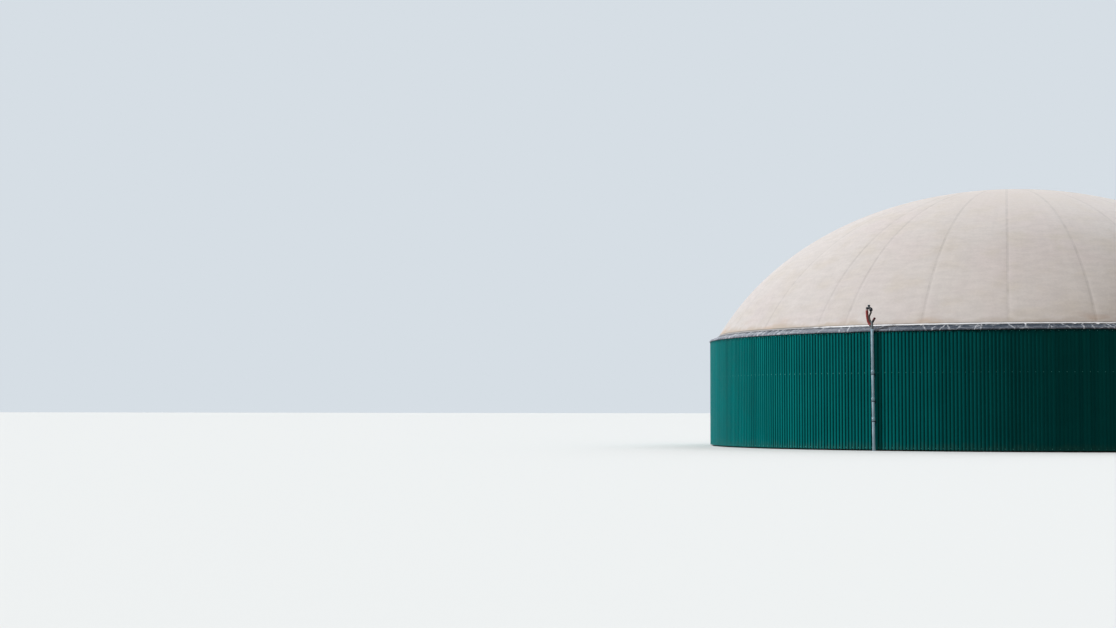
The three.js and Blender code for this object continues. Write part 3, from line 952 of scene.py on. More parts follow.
@dataclass
class Studio:
    """A pale floor under a soft light from the left, a wide one from behind and a weak one all round."""

    floor_side: float = 5000
    floor_colour: Colour = paint(218, 219, 217)
    lamps: tuple[Lamp, ...] = (
        Lamp("key_light", 84, 38.5, 3.2, 7, (0.96, 1.0, 1.05)),
        Lamp("sky_light", 200, 40, 1.05, 40, (0.92, 1.0, 1.08)),
    )
    fill: float = 0.39
    fill_colour: Colour = (1.06, 1.0, 0.94)
    gloss: float = 0.85
    front_share: float = 0.8
    low_gloss: float = 0.3
    gloss_colour: Colour = (0.93, 0.98, 1.06)
    backdrop: Colour = paint(214, 222, 229)

    def build_floor(self) -> None:
        """Lay the wide pale floor."""
        floor = Bench.start(
            "studio_floor", bpy.ops.mesh.primitive_plane_add, size=self.floor_side, location=CENTRE
        )
        bench = ShaderBench("studio_floor")
        bench.colour = self.floor_colour
        bench.wear(0.9, Specular_IOR_Level=0.1)
        floor.data.materials.append(bench.material)
        floor.visible_diffuse = False
        floor.visible_glossy = False
        floor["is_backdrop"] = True

    def build_world(self) -> None:
        """Surround the studio: weak light from above, a sky brighter behind the tank, a backdrop."""
        world = bpy.data.worlds.new("studio")
        bpy.context.scene.world = world
        world.use_nodes = True
        bench = NodeBench(world.node_tree)
        direction = bench.node("ShaderNodeTexCoord", {}).outputs["Generated"]
        toward = bench.node("ShaderNodeSeparateXYZ", {0: direction}).outputs
        fill = bench.ramp(toward["Z"], -0.04, 0.16, 0, self.fill)
        front, behind = (
            bench.ramp(toward["Z"], -0.14, 0.1, self.low_gloss, self.gloss * share)
            for share in (self.front_share, 1)
        )
        gloss = bench.ramp(toward["Y"], -0.6, 0.3, front, behind)
        surface, glossy, seen = (
            bench.node("ShaderNodeBackground", {"Color": colour, "Strength": strength}).outputs[0]
            for colour, strength in ((self.fill_colour, fill), (self.gloss_colour, gloss), (self.backdrop, 1))
        )
        rays = bench.node("ShaderNodeLightPath", {}).outputs
        for ray, light in (("Is Glossy Ray", glossy), ("Is Camera Ray", seen)):
            surface = bench.node("ShaderNodeMixShader", {0: rays[ray], 1: surface, 2: light}).outputs[0]
        bench.node("ShaderNodeOutputWorld", {"Surface": surface})

    def build(self) -> None:
        """Build the floor, the lamps and the surroundings."""
        self.build_floor()
        for lamp in self.lamps:
            lamp.build()
        self.build_world()
        settings = bpy.context.scene.view_settings
        settings.view_transform = "Standard"
        settings.look = "None"


@dataclass
class TankBody:
    """The frame's concrete tank, and the board rings that carry the cladding."""

    inner: float = 12.2403
    outer: float = 12.4666
    height: float = 0.060
    edge: float = 0.004
    rails: tuple[tuple[str, float], ...] = (
        ("bottom_rail", 0.110),
        ("middle_rail", 2.840),
        ("top_rail", 4.330),
    )
    steps: int = 360

    def build_rail(self, node: str, middle: float) -> None:
        """Build one board ring with eased edges.

        Args:
            node: The node that it stands for.
            middle: Height of its middle.
        """
        foot, head = middle - self.height / 2, middle + self.height / 2
        eased = self.outer - self.edge
        profile = [(self.inner, foot), (eased, foot), (self.outer, foot + self.edge)]
        profile += [(self.outer, head - self.edge), (eased, head), (self.inner, head), (self.inner, foot)]
        ring = Bench.turned(f"board_{node}", profile, self.steps)
        Bench.unroll(ring, self.outer, lambda point: point.z + radius_of(point))
        mount(ring, TIMBER, node)

    def build(self) -> None:
        """Dress the frame's concrete and build the rails."""
        for name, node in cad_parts.items():
            if name.startswith("tank_wall") or name == "floor_slab":
                node.data.materials.clear()
                node.data.materials.append(material_of(CONCRETE))
        for rail in self.rails:
            self.build_rail(*rail)


@dataclass
class Cladding:
    """Trapezoidal sheets on the rails, eight ribs to a sheet and nine sheets to a segment."""

    segments: int = 8
    sheets: int = 9
    ribs: int = 8
    crown_radius: float = 12.488
    depth: float = 0.020
    crown_width: float = 0.070
    flank_width: float = 0.013
    corner: float = 0.003
    foot: float = 0.05
    top: float = 4.40
    gauge: float = 0.0008
    screwed_valleys: tuple[int, ...] = (1, 3, 5, 7)
    screw_rows: tuple[float, ...] = (0.11, 2.858, 4.33)
    washer_radius: float = 0.0115
    head_radius: float = 0.0072
    # painted light and shade: sheets paler toward this bearing, darker away from it, and darker in the
    # valleys
    lit_bearing: float = 85
    shady_tone: float = 0.57
    valley_shade: float = 0.24
    seed: int = 11

    @property
    def rib_step(self) -> float:
        """Bearing from one rib to the next."""
        return 360 / (self.segments * self.sheets * self.ribs)

    @property
    def valley_radius(self) -> float:
        """Radius of the sheets' inner flats, at their outer face."""
        return self.crown_radius - self.depth

    def build_rib(self) -> Piece:
        """Model one rib with half a valley on each side, facing -Y.

        Returns:
            The rib, as an open sheet.
        """
        height = self.top - self.foot
        crown_edge = self.crown_width / 2
        foot_edge = crown_edge + self.flank_width
        valley_end = on_ring(self.valley_radius, self.rib_step / 2, 0)
        rib = Bench.start(
            "rib",
            bpy.ops.mesh.primitive_plane_add,
            size=1,
            location=(0, -self.crown_radius, self.foot + height / 2),
            rotation=(math.pi / 2, 0, 0),
        )
        with Bench.editing(rib):
            bpy.ops.transform.resize(value=(self.crown_width, 1, height))
        Bench.settle(rib)
        with Bench.editing(rib):
            for side in (-1, 1):
                edge = side * crown_edge
                Bench.pick(Element.EDGE, lambda point: abs(point.x - edge) < 1e-4)
                Bench.extrude(Vector((side * self.flank_width, self.depth, 0)))
                flat = -valley_end.x - crown_edge - self.flank_width
                Bench.extrude(Vector((side * flat, valley_end.y + self.valley_radius, 0)))
            bends = (crown_edge, foot_edge)
            Bench.pick(Element.EDGE, lambda point: any(abs(abs(point.x) - bend) < 1e-4 for bend in bends))
            bpy.ops.mesh.bevel(offset=self.corner, segments=2)
        return rib

    def build_segments(self) -> list[Piece]:
        """Model one sheet of eight ribs, one segment of nine sheets, and the other segments from it.

        Returns:
            The segments, in the frame's order.
        """
        segment = self.build_rib()
        with Bench.editing(segment):
            Bench.sweep(self.rib_step * (self.ribs - 1), self.ribs - 1, copies=True)
            Bench.weld(2e-4)
        Bench.modify(segment, "SOLIDIFY", thickness=self.gauge, offset=-1)
        with Bench.editing(segment):
            Bench.sweep(self.rib_step * self.ribs * (self.sheets - 1), self.sheets - 1, copies=True)
        twins = []
        for place in range(1, self.segments + 1):
            start = to_bearing(self.rib_step / 2 - place * 360 / self.segments)
            twins.append(Bench.copy(segment, f"cladding_sheets_{place}", start))
        bpy.data.objects.remove(segment)
        return twins

    def tone_sheets(self, segment: Piece) -> None:
        """Give each sheet of a segment its own tone, with painted light toward the key light, painted shade
        away from it and painted shade in the valleys.

        Args:
            segment: The segment.
        """
        dice = random.Random(self.seed)
        tones = [dice.uniform(0.95, 1.05) for _ in range(self.segments * self.sheets)]
        soiling = [dice.choice((1.04, 1.0, 0.97, 0.93, 0.86)) for _ in range(len(tones) * self.ribs)]
        levels = []
        for face in segment.data.polygons:
            bearing = bearing_of(face.center)
            # painted light and shade: chalked is the share of painted light at this bearing
            chalked = light_share(bearing, self.lit_bearing)
            level = self.shady_tone + (1 - self.shady_tone) * chalked
            # painted shade in the valleys, strongest away from the key light
            if radius_of(face.center) < self.crown_radius - self.depth / 2:
                level *= self.valley_shade + (1 - self.valley_shade) * (1 - chalked) ** 2
            sheet = int(bearing / self.rib_step / self.ribs) % len(tones)
            rib = int(bearing / self.rib_step) % len(soiling)
            levels.append(level * tones[sheet] * soiling[rib])
        Bench.note(segment, "tone", levels, "FACE")

    def build_screws(self) -> Piece:
        """Model the hexagon screws with their washers, in the valleys on the rails.

        Returns:
            All the screws as one piece.
        """
        rim = self.washer_radius
        profile = [(0, 0), (rim, 0), (rim, 0.0015), (rim - 0.003, 0.003), (0, 0.003)]
        washer = Bench.turned("washer", profile, 10)
        head = Bench.start(
            "head",
            bpy.ops.mesh.primitive_cylinder_add,
            vertices=6,
            radius=self.head_radius,
            depth=0.0055,
            location=(0, 0, 0.00575),
        )
        with Bench.editing(head):
            Bench.pick(Element.FACE, lambda point: point.z > 0.004)
            bpy.ops.mesh.inset(thickness=0.001)
            bpy.ops.transform.translate(value=(0, 0, 0.0008))
        screw = Bench.join("screw", washer, Bench.settle(head))
        Bench.settle(screw, shift(y=-self.valley_radius) @ rotation(90, "X"))
        screws = [
            Bench.copy(screw, "row_screw", to_bearing(valley * self.rib_step) @ shift(z=height))
            for height in self.screw_rows
            for valley in self.screwed_valleys
        ]
        bpy.data.objects.remove(screw)
        whole = Bench.join("cladding_screws", *screws)
        others = self.segments * self.sheets - 1
        with Bench.editing(whole):
            Bench.sweep(self.rib_step * self.ribs * others, others, copies=True)
        return whole

    def build(self) -> None:
        """Build and dress the sheets and their screws."""
        for place, segment in enumerate(self.build_segments(), start=1):
            self.tone_sheets(segment)
            Bench.unroll(segment, self.crown_radius, lambda point: point.z)
            Bench.soften(segment, 40)
            mount(segment, GREEN_SHEET, f"cladding_{place}")
        mount(self.build_screws(), SCREW_CAPS)


@dataclass(frozen=True)
class Wave:
    """Chance waves in a sheet: how close they lie round the tank and along it, and how high."""

    around: float
    along: float
    layer: float
    height: float = 1.0
    skew: float = 0.0

    def at(self, turn: float, along: float) -> float:
        """Rise at a place on the sheet, in metres round the tank and along the sheet."""
        across = turn * self.around + along * self.skew
        return wavering(across, along * self.along, self.layer) * self.height


@dataclass(frozen=True)
class Fold:
    """A crease in the apron: a ridge that crosses it at a slant, pale along its crest with stress whitening
    and a painted highlight.
    """

    bearing: float
    lean: float
    height: float = 0.012
    half_width: float = 0.022
    start: float = 0.0
    end: float = 1.0
    white_and_highlight: float = 0.95
    crest_half_width: float = 0.024
    drift: float = 0.045
    reach: float = 0.6
    tail: float = 4
    hollow: float = 0.45
    hollow_place: float = 1.6

    def at(self, bearing: float, down: float, radius: float, length: float) -> tuple[float, float]:
        """Work out what the crease does at a point of the apron.

        Args:
            bearing: Bearing of the point.
            down: Share of the apron's run down to the point.
            radius: Distance of the point from the tank's axis.
            length: Length of the apron's run.

        Returns:
            How far the crease lifts the point, and how white it is there.
        """
        apart = math.radians(between(self.bearing, bearing)) * radius
        if abs(apart) > self.reach:
            return 0.0, 0.0
        apart += wavering(self.bearing, down * 4.5, 6.0) * self.drift
        across = (apart + self.lean * (down - 0.5) * length) / self.half_width
        if abs(across) > self.tail:
            return 0.0, 0.0
        window = smooth_step(down, self.start - 0.05, self.start + 0.15)
        window *= 1 - smooth_step(down, self.end, self.end + 0.2)
        rise = self.height * window * (bell(across) - self.hollow * bell(across - self.hollow_place))
        crest = bell(across * self.half_width / self.crest_half_width)
        patchy = 0.75 + 0.7 * wavering(apart * 9, down * 6, self.bearing)
        return rise, self.white_and_highlight * window * crest * patchy


@dataclass
class WeatherApron:
    """Slate foil from the clamping strip out over the cladding's top edge, in eight lengths."""

    segments: int = 8
    steps: int = 560
    foil: float = 0.0015
    mean_radius: float = 12.3
    profile: Profile = (
        *((12.118, 4.602), (12.136, 4.592), (12.170, 4.575), (12.205, 4.560), (12.240, 4.545)),
        *((12.275, 4.530), (12.310, 4.515), (12.345, 4.500), (12.380, 4.485), (12.415, 4.470)),
        *((12.448, 4.456), (12.476, 4.443), (12.495, 4.429), (12.504, 4.412), (12.507, 4.394)),
        (12.506, 4.376),
    )
    seen_folds: tuple[Fold, ...] = (
        Fold(33.5, -0.28, 0.014, 0.022, 0.0, 1.0, 1.2),
        Fold(29.6, 0.42, 0.016, 0.022, 0.0, 1.0, 1.2),
        Fold(27.9, 0.36, 0.014, 0.022, 0.0, 1.0, 1.2),
        Fold(21.8, -0.30, 0.014),
        Fold(13.9, 0.62, 0.014, 0.03),
        Fold(12.1, -0.22, 0.012, 0.022, 0.35, 1.0),
        Fold(10.7, -0.26, 0.015),
        Fold(9.7, 0.42, 0.013),
        Fold(5.1, -0.20, 0.015),
        Fold(4.3, 0.02, 0.012),
        Fold(-0.5, 0.62, 0.015),
        Fold(-2.9, 0.03, 0.012, 0.022, 0.1, 0.8),
        Fold(-9.4, 0.7, 0.012, 0.035),
        Fold(-12.2, 0.02, 0.012),
        Fold(-13.7, 0.12, 0.014, 0.03, 0.3, 1.0),
        Fold(-16.7, 0.6, 0.012, 0.03),
    )
    seed: int = 99
    wild_folds: int = 14
    least_gap: float = 1.7
    slack: Wave = Wave(1.6, 1.4, 3.0, 0.006)
    crumple: Wave = Wave(7, 3.5, 9.0, 0.005)
    pleats: Wave = Wave(8.5, 1.3, 12.0)
    pleat_height: float = 0.018
    hem: Wave = Wave(0.9, 5.0, 1.0, 0.007)
    gathers: float = 0.75
    gathered_from: tuple[float, float] = (33, 46)
    gathered_to: tuple[float, float] = (120, 130)
    pleat_shade: float = 0.75
    lit_bearing: float = 90
    riser_bearing: float = 22.5
    riser_half_width: float = 0.45
    riser_press: float = 0.9

    @property
    def width(self) -> float:
        """Bearing from one end of a segment to the other."""
        return 360 / self.segments

    def folds_of(self, place: int) -> list[Fold]:
        """Creases of one segment: the seen ones, and chance ones where there is room.

        Args:
            place: The segment's place in the frame's order, from 1.

        Returns:
            The creases.
        """
        dice = random.Random(self.seed + place)
        first = -place * self.width
        folds = [fold for fold in self.seen_folds if (fold.bearing - first) % 360 < self.width]
        for _ in range(self.wild_folds):
            bearing = first + dice.random() * self.width
            gap = min(abs(between(bearing, fold.bearing)) for fold in (*self.seen_folds, *folds))
            lean = dice.choice((-1, 1)) * dice.uniform(0.05, 0.6)
            size = (dice.uniform(0.006, 0.014), dice.uniform(0.018, 0.035), dice.uniform(0, 0.35))
            white_and_highlight = dice.uniform(0.25, 0.95)
            if gap > self.least_gap:
                folds.append(Fold(bearing, lean, *size, 1.0, white_and_highlight))
        return folds

    def crease(self, segment: Piece, folds: Sequence[Fold]) -> None:
        """Lay creases and slack into a segment, and note each point's drop, its crease whiteness with painted
        highlight, and its share of painted light.

        Args:
            segment: The segment, as an open sheet.
            folds: Its creases.
        """
        inner, bend, foot = self.profile[0][0], self.profile[-3][1], self.profile[-1][1]
        length = self.profile[-2][0] - inner + bend - foot
        normals = [normal.vector.copy() for normal in segment.data.vertex_normals]
        drops, whites_and_highlights, lit_sides = [], [], []
        for vertex, normal in zip(segment.data.vertices, normals):
            radius, bearing = radius_of(vertex.co), bearing_of(vertex.co)
            turn = math.radians(bearing) * self.mean_radius
            down = (radius - inner + max(0.0, bend - vertex.co.z)) / length
            marks = [fold.at(bearing, down, radius, length) for fold in folds]
            gathered = self.gathers * smooth_step(bearing, *self.gathered_from)
            gathered *= 1 - smooth_step(bearing, *self.gathered_to)
            pleat = self.pleats.at(turn, down)
            loose = self.slack.at(turn, down) + self.crumple.at(turn, down)
            loose += pleat * gathered * self.pleat_height
            rise = sum(lift for lift, _ in marks) + loose * smooth_step(down, 0.0, 0.25)
            rise *= 1 - self.riser_press * bell((bearing - self.riser_bearing) / self.riser_half_width)
            vertex.co += normal * rise
            vertex.co.z += self.hem.at(turn, 1) * smooth_step(down, 0.7, 1.0)
            # painted shade in the pleats' hollows
            dark = self.pleat_shade * gathered * smooth_step(-pleat, 0.0, 0.35)
            drops.append(down)
            # painted highlight on the pleats' crests
            pleat_highlight = gathered * smooth_step(pleat, 0.05, 0.4)
            whites_and_highlights.append(max(0.0, pleat_highlight, *(white for _, white in marks)))
            # share of painted light by bearing, cut by the painted shade in the pleats' hollows
            lit_sides.append(light_share(bearing, self.lit_bearing) * (1 - dark))
        for name, values in (("drop", drops), ("crease", whites_and_highlights), ("age", lit_sides)):
            Bench.note(segment, name, values)
        LOG.info("%s: %d creases", segment.name, len(folds))

    def build_segment(self, place: int) -> Piece:
        """Model one segment of the apron.

        Args:
            place: Its place in the frame's order, from 1.

        Returns:
            The segment.
        """
        points = [on_ring(radius, -place * self.width, height) for radius, height in self.profile]
        segment = Bench.swept(f"weather_apron_foil_{place}", points, [self.width], self.steps)
        Bench.face_up(segment)
        self.crease(segment, self.folds_of(place))
        Bench.modify(segment, "SOLIDIFY", thickness=self.foil, offset=0)
        Bench.unroll(segment, self.mean_radius, lambda point: radius_of(point) - point.z)
        Bench.soften(segment, 70)
        return segment

    def build(self) -> None:
        run = sum(math.dist(start, end) for start, end in zip(self.profile, self.profile[1:]))
        for place in range(1, self.segments + 1):
            segment = mount(self.build_segment(place), APRON_FOIL, f"weather_apron_{place}")


@dataclass
class ClampingEdge:
    """White edge that clamps both membranes to the wall's top, with loose flaps."""

    steps: int = 720
    inner: float = 12.062
    outer: float = 12.117
    foot: float = 4.50
    top: float = 4.650
    lip_radius: float = 12.154
    lip_foot: float = 4.588
    lip_top: float = 4.641
    wave: Wave = Wave(2.1, 0.0, 4.0, 0.006)
    flaps: tuple[tuple[float, float, float], ...] = (
        (-14.9, 0.13, 0.085),
        (14.6, 0.11, 0.045),
        (-11.0, 0.15, 0.04),
        (-2.9, 0.10, 0.045),
        (24.0, 0.09, 0.05),
    )
    flap_lean: float = 62
    flap_gap: float = 0.012

    def build_ring(self) -> Piece:
        """Model the strip with a rounded lip, a little uneven along its length.

        Returns:
            The ring.
        """
        outer, lip, foot, top = self.outer, self.lip_radius, self.lip_foot, self.lip_top
        profile = [(self.inner, self.foot), (outer, self.foot), (outer, foot), (lip - 0.004, foot)]
        profile += [(lip, foot + 0.004), (lip, foot + 0.010), (lip - 0.003, foot + 0.015)]
        profile += [(outer - 0.001, top - 0.003), (outer - 0.006, top), (outer - 0.013, top)]
        profile += [(outer - 0.019, top - 0.006), (self.inner, self.top), (self.inner, self.foot)]
        ring = Bench.turned("clamping_edge", profile, self.steps)
        for vertex in ring.data.vertices:
            if vertex.co.z >= foot - 0.01:
                vertex.co.z += self.wave.at(math.radians(bearing_of(vertex.co)) * outer, 0)
        return ring

    def build_flap(self, bearing: float, width: float, drop: float) -> Piece:
        """Model a flap of the edge that hangs over the apron.

        Args:
            bearing: Bearing of its middle.
            width: Width at the edge.
            drop: How far it hangs.

        Returns:
            The flap.
        """
        grid = {"x_subdivisions": 8, "y_subdivisions": 6, "size": 1}
        flap = Bench.start("flap", bpy.ops.mesh.primitive_grid_add, location=CENTRE, **grid)
        with Bench.editing(flap):
            bpy.ops.transform.resize(value=(width, drop, 1))
            for down, share in ((0.1, 0.62), (0.3, 0.5)):
                Bench.pick(Element.VERTEX, lambda point: point.y < -drop * down)
                bpy.ops.transform.resize(value=(share, 1, 1), center_override=(width * 0.1, 0, 0))
        for vertex in flap.data.vertices:
            curl = 0.006 * math.sin(vertex.co.x / width * 5)
            vertex.co.z = curl + 0.02 * (0.5 - vertex.co.y / drop)
        Bench.modify(flap, "SUBSURF", levels=1, render_levels=1)
        Bench.modify(flap, "SOLIDIFY", thickness=0.002, offset=0)
        place = shift(y=-self.lip_radius - self.flap_gap, z=self.lip_foot + self.flap_gap - drop * 0.3)
        return Bench.settle(flap, to_bearing(bearing) @ place @ rotation(self.flap_lean, "X"))

    def build(self) -> None:
        """Build and dress the edge with its flaps."""
        flaps = [self.build_flap(*flap) for flap in self.flaps]
        edge = Bench.join("clamping_edge", self.build_ring(), *flaps)
        Bench.soften(edge, 45)
        mount(edge, WHITE_EDGE, "clamping_strip")


@dataclass
class GasDome:
    """Air-borne membrane over the tank: 24 gores and one narrow closing strip, welded together."""

    foot_radius: float = 12.105
    foot_height: float = 4.650
    rise: float = 6.066
    swell: float = 0.216
    foot_swell: float = 0.096
    rings: int = 72
    gores: int = 24
    closing_strip: float = 6.2
    first_seam: float = 35.6
    columns: tuple[float, ...] = (0.0, 0.12, 0.25, 0.45, 0.8, 1.6, 2.8, 4.2, 5.6)
    strip_columns: int = 6
    pinch: float = 0.007
    pinch_half_width: float = 0.10
    crown_patch: float = 0.6
    fabric: float = 0.003
    ripples: tuple[Wave, ...] = (Wave(1.7, 1.1, 2.0), Wave(4.1, 1.4, 7.0, 0.5, 2.4))
    ripple_height: float = 0.008
    crumpled_bearing: float = 32
    crumpled_half_width: float = 4.5
    crumpled_gain: float = 2.0

    @property
    def gore_width(self) -> float:
        """Bearing from one seam of a gore to the next."""
        return (360 - self.closing_strip) / self.gores

    @property
    def sphere(self) -> float:
        """Radius of the sphere that the dome is a cap of, but for its swell."""
        return (self.foot_radius**2 + self.rise**2) / (2 * self.rise)

    def height_at(self, radius: float) -> float:
        """Work out the taut membrane's height: a cap of a sphere that the pressure swells.

        Args:
            radius: Distance from the tank's axis.

        Returns:
            The height.
        """
        cap = math.sqrt(self.sphere**2 - radius**2) - (self.sphere - self.rise)
        share = radius / self.foot_radius
        swell = self.swell * math.sin(math.pi * share**2)
        return self.foot_height + cap + swell + self.foot_swell * math.sin(math.pi * share**6)

    def build_gore(self, name: str, width: float, columns: Sequence[float]) -> Piece:
        """Model one gore from its first seam, at bearing 0, to its second.

        Args:
            name: Name of the piece.
            width: Bearing from seam to seam.
            columns: Bearings of the columns of points up to the middle.

        Returns:
            The gore, as an open sheet.
        """
        half_arc = math.asin(self.foot_radius / self.sphere)
        shares = [1 - ring / self.rings for ring in range(self.rings + 1)]
        radii = [self.foot_radius, *(self.sphere * math.sin(half_arc * share) for share in shares[1:])]
        meridian = [on_ring(radius, 0, self.height_at(radius)) for radius in radii]
        stops = [*columns, width / 2, *(width - column for column in reversed(columns))]
        return Bench.swept(name, meridian, [end - start for start, end in zip(stops, stops[1:])])

    def seam_distance(self, point: Vector) -> float:
        """Measure how far a point of the dome is from the nearest seam.

        Args:
            point: The point.

        Returns:
            The distance.
        """
        turn = (bearing_of(point) - self.first_seam) % 360
        past = turn % self.gore_width
        apart = min(past, self.gore_width - past, turn, 360 - turn)
        radius = radius_of(point)
        if radius < self.crown_patch:
            return self.crown_patch - radius
        return min(math.radians(apart) * radius, radius - self.crown_patch)

    def up_the_cloth(self, point: Vector) -> float:
        """Distance up the cloth from the foot to a point of the dome."""
        return math.hypot(self.foot_radius - radius_of(point), point.z - self.foot_height)

    def shape(self, dome: Piece) -> None:
        """Pinch the seams, ripple the foot, and note each point's distance from a seam.

        Args:
            dome: The dome, as an open sheet.
        """
        normals = [normal.vector.copy() for normal in dome.data.vertex_normals]
        seams = [self.seam_distance(vertex.co) for vertex in dome.data.vertices]
        for vertex, normal, apart in zip(dome.data.vertices, normals, seams):
            bearing = bearing_of(vertex.co)
            turn = math.radians(bearing) * self.foot_radius
            over_foot = vertex.co.z - self.foot_height
            pinch = self.pinch * bell(apart / self.pinch_half_width)
            pinch *= smooth_step(radius_of(vertex.co), 1.0, 4.0)
            near_foot = smooth_step(over_foot, 0.0, 0.12) * (1 - smooth_step(over_foot, 0.15, 1.3))
            crumpled = bell((bearing - self.crumpled_bearing) / self.crumpled_half_width)
            crumpled = 1 + self.crumpled_gain * crumpled
            ripple = sum(wave.at(turn, over_foot) for wave in self.ripples)
            vertex.co += normal * (ripple * self.ripple_height * near_foot * crumpled - pinch)
        Bench.note(dome, "seam", seams)

    def build(self) -> None:
        gore = self.build_gore("gore", self.gore_width, self.columns)
        with Bench.editing(gore):
            Bench.sweep(self.gore_width * (self.gores - 1), self.gores - 1, copies=True)
        Bench.settle(gore, to_bearing(self.first_seam))
        strip = self.build_gore("strip", self.closing_strip, self.columns[: self.strip_columns])
        Bench.settle(strip, to_bearing(self.first_seam - self.closing_strip))
        dome = Bench.join("gas_dome", gore, strip)
        with Bench.editing(dome):
            Bench.weld(1e-4)
        Bench.face_up(dome)
        self.shape(dome)
        Bench.modify(dome, "SOLIDIFY", thickness=self.fabric, offset=-1)
        Bench.unroll(dome, self.foot_radius, self.up_the_cloth)
        Bench.soften(dome, 60)
        mount(dome, GAS_MEMBRANE, "dome_membrane")


@dataclass
class RiserLine:
    """The line that the riser stands on: out from the cladding, and leaning a little to the left."""

    bearing: float = 22.5
    axis_radius: float = 12.575
    lean: float = -0.5
    foot_gap: float = 0.0005
    top: float = 4.465
    cladding_gap: float = 0.0867

    def stand(self, height: float = 0.0) -> Matrix:
        """Place on the line at a height, with +X to the right and +Y to the wall."""
        foot = to_bearing(self.bearing) @ shift(y=-self.axis_radius, z=self.foot_gap)
        return foot @ rotation(self.lean, "Y") @ shift(z=height)


@dataclass
class Riser:
    """Grey pipe up the wall in push-fit lengths, each with its socket just over a bracket."""

    line: RiserLine
    radius: float = 0.055
    bore: float = 0.051
    socket_radius: float = 0.064
    socket_bore: float = 0.0565
    socket_length: float = 0.100
    taper: float = 0.010
    joints: tuple[float, ...] = (1.158, 1.895, 2.885)
    push_gap: float = 0.0003
    steps: int = 40

    def build_length(self, place: int, bottom: float, top: float, socketed: bool) -> None:
        """Build one push-fit length.

        Args:
            place: Its number from the floor, from 1.
            bottom: Height of its foot.
            top: Height of its head.
            socketed: Whether its head is a socket.
        """
        profile = [(self.bore, bottom), (self.radius - 0.002, bottom), (self.radius, bottom + 0.004)]
        if socketed:
            mouth = top - self.socket_length
            bead, body = self.socket_radius + 0.002, self.socket_radius - 0.001
            profile += [(self.radius, mouth - self.taper), (body - 0.003, mouth - 0.002)]
            profile += [(body, mouth + 0.004), (body, top - 0.040)]
            profile += [(bead, top - 0.034), (bead, top - 0.014)]
            profile += [(body, top - 0.009), (body, top - 0.001), (body - 0.001, top)]
            profile += [(self.socket_bore, top), (self.socket_bore, mouth), (self.bore, mouth)]
        else:
            profile += [(self.radius, top), (self.bore, top)]
        profile.append((self.bore, bottom))
        pipe = Bench.turned(f"riser_length_{place}", profile, self.steps, self.line.stand())
        Bench.soften(pipe)
        mount(pipe, PIPE_GREY, f"riser_pipe_{place}")

    def build(self) -> None:
        """Build the lengths from the floor up."""
        bottom = 0.0
        for place, joint in enumerate(self.joints, start=1):
            top = joint + self.socket_length / 2
            self.build_length(place, bottom, top, True)
            bottom = top - self.socket_length + self.push_gap
        self.build_length(len(self.joints) + 1, bottom, self.line.top, False)


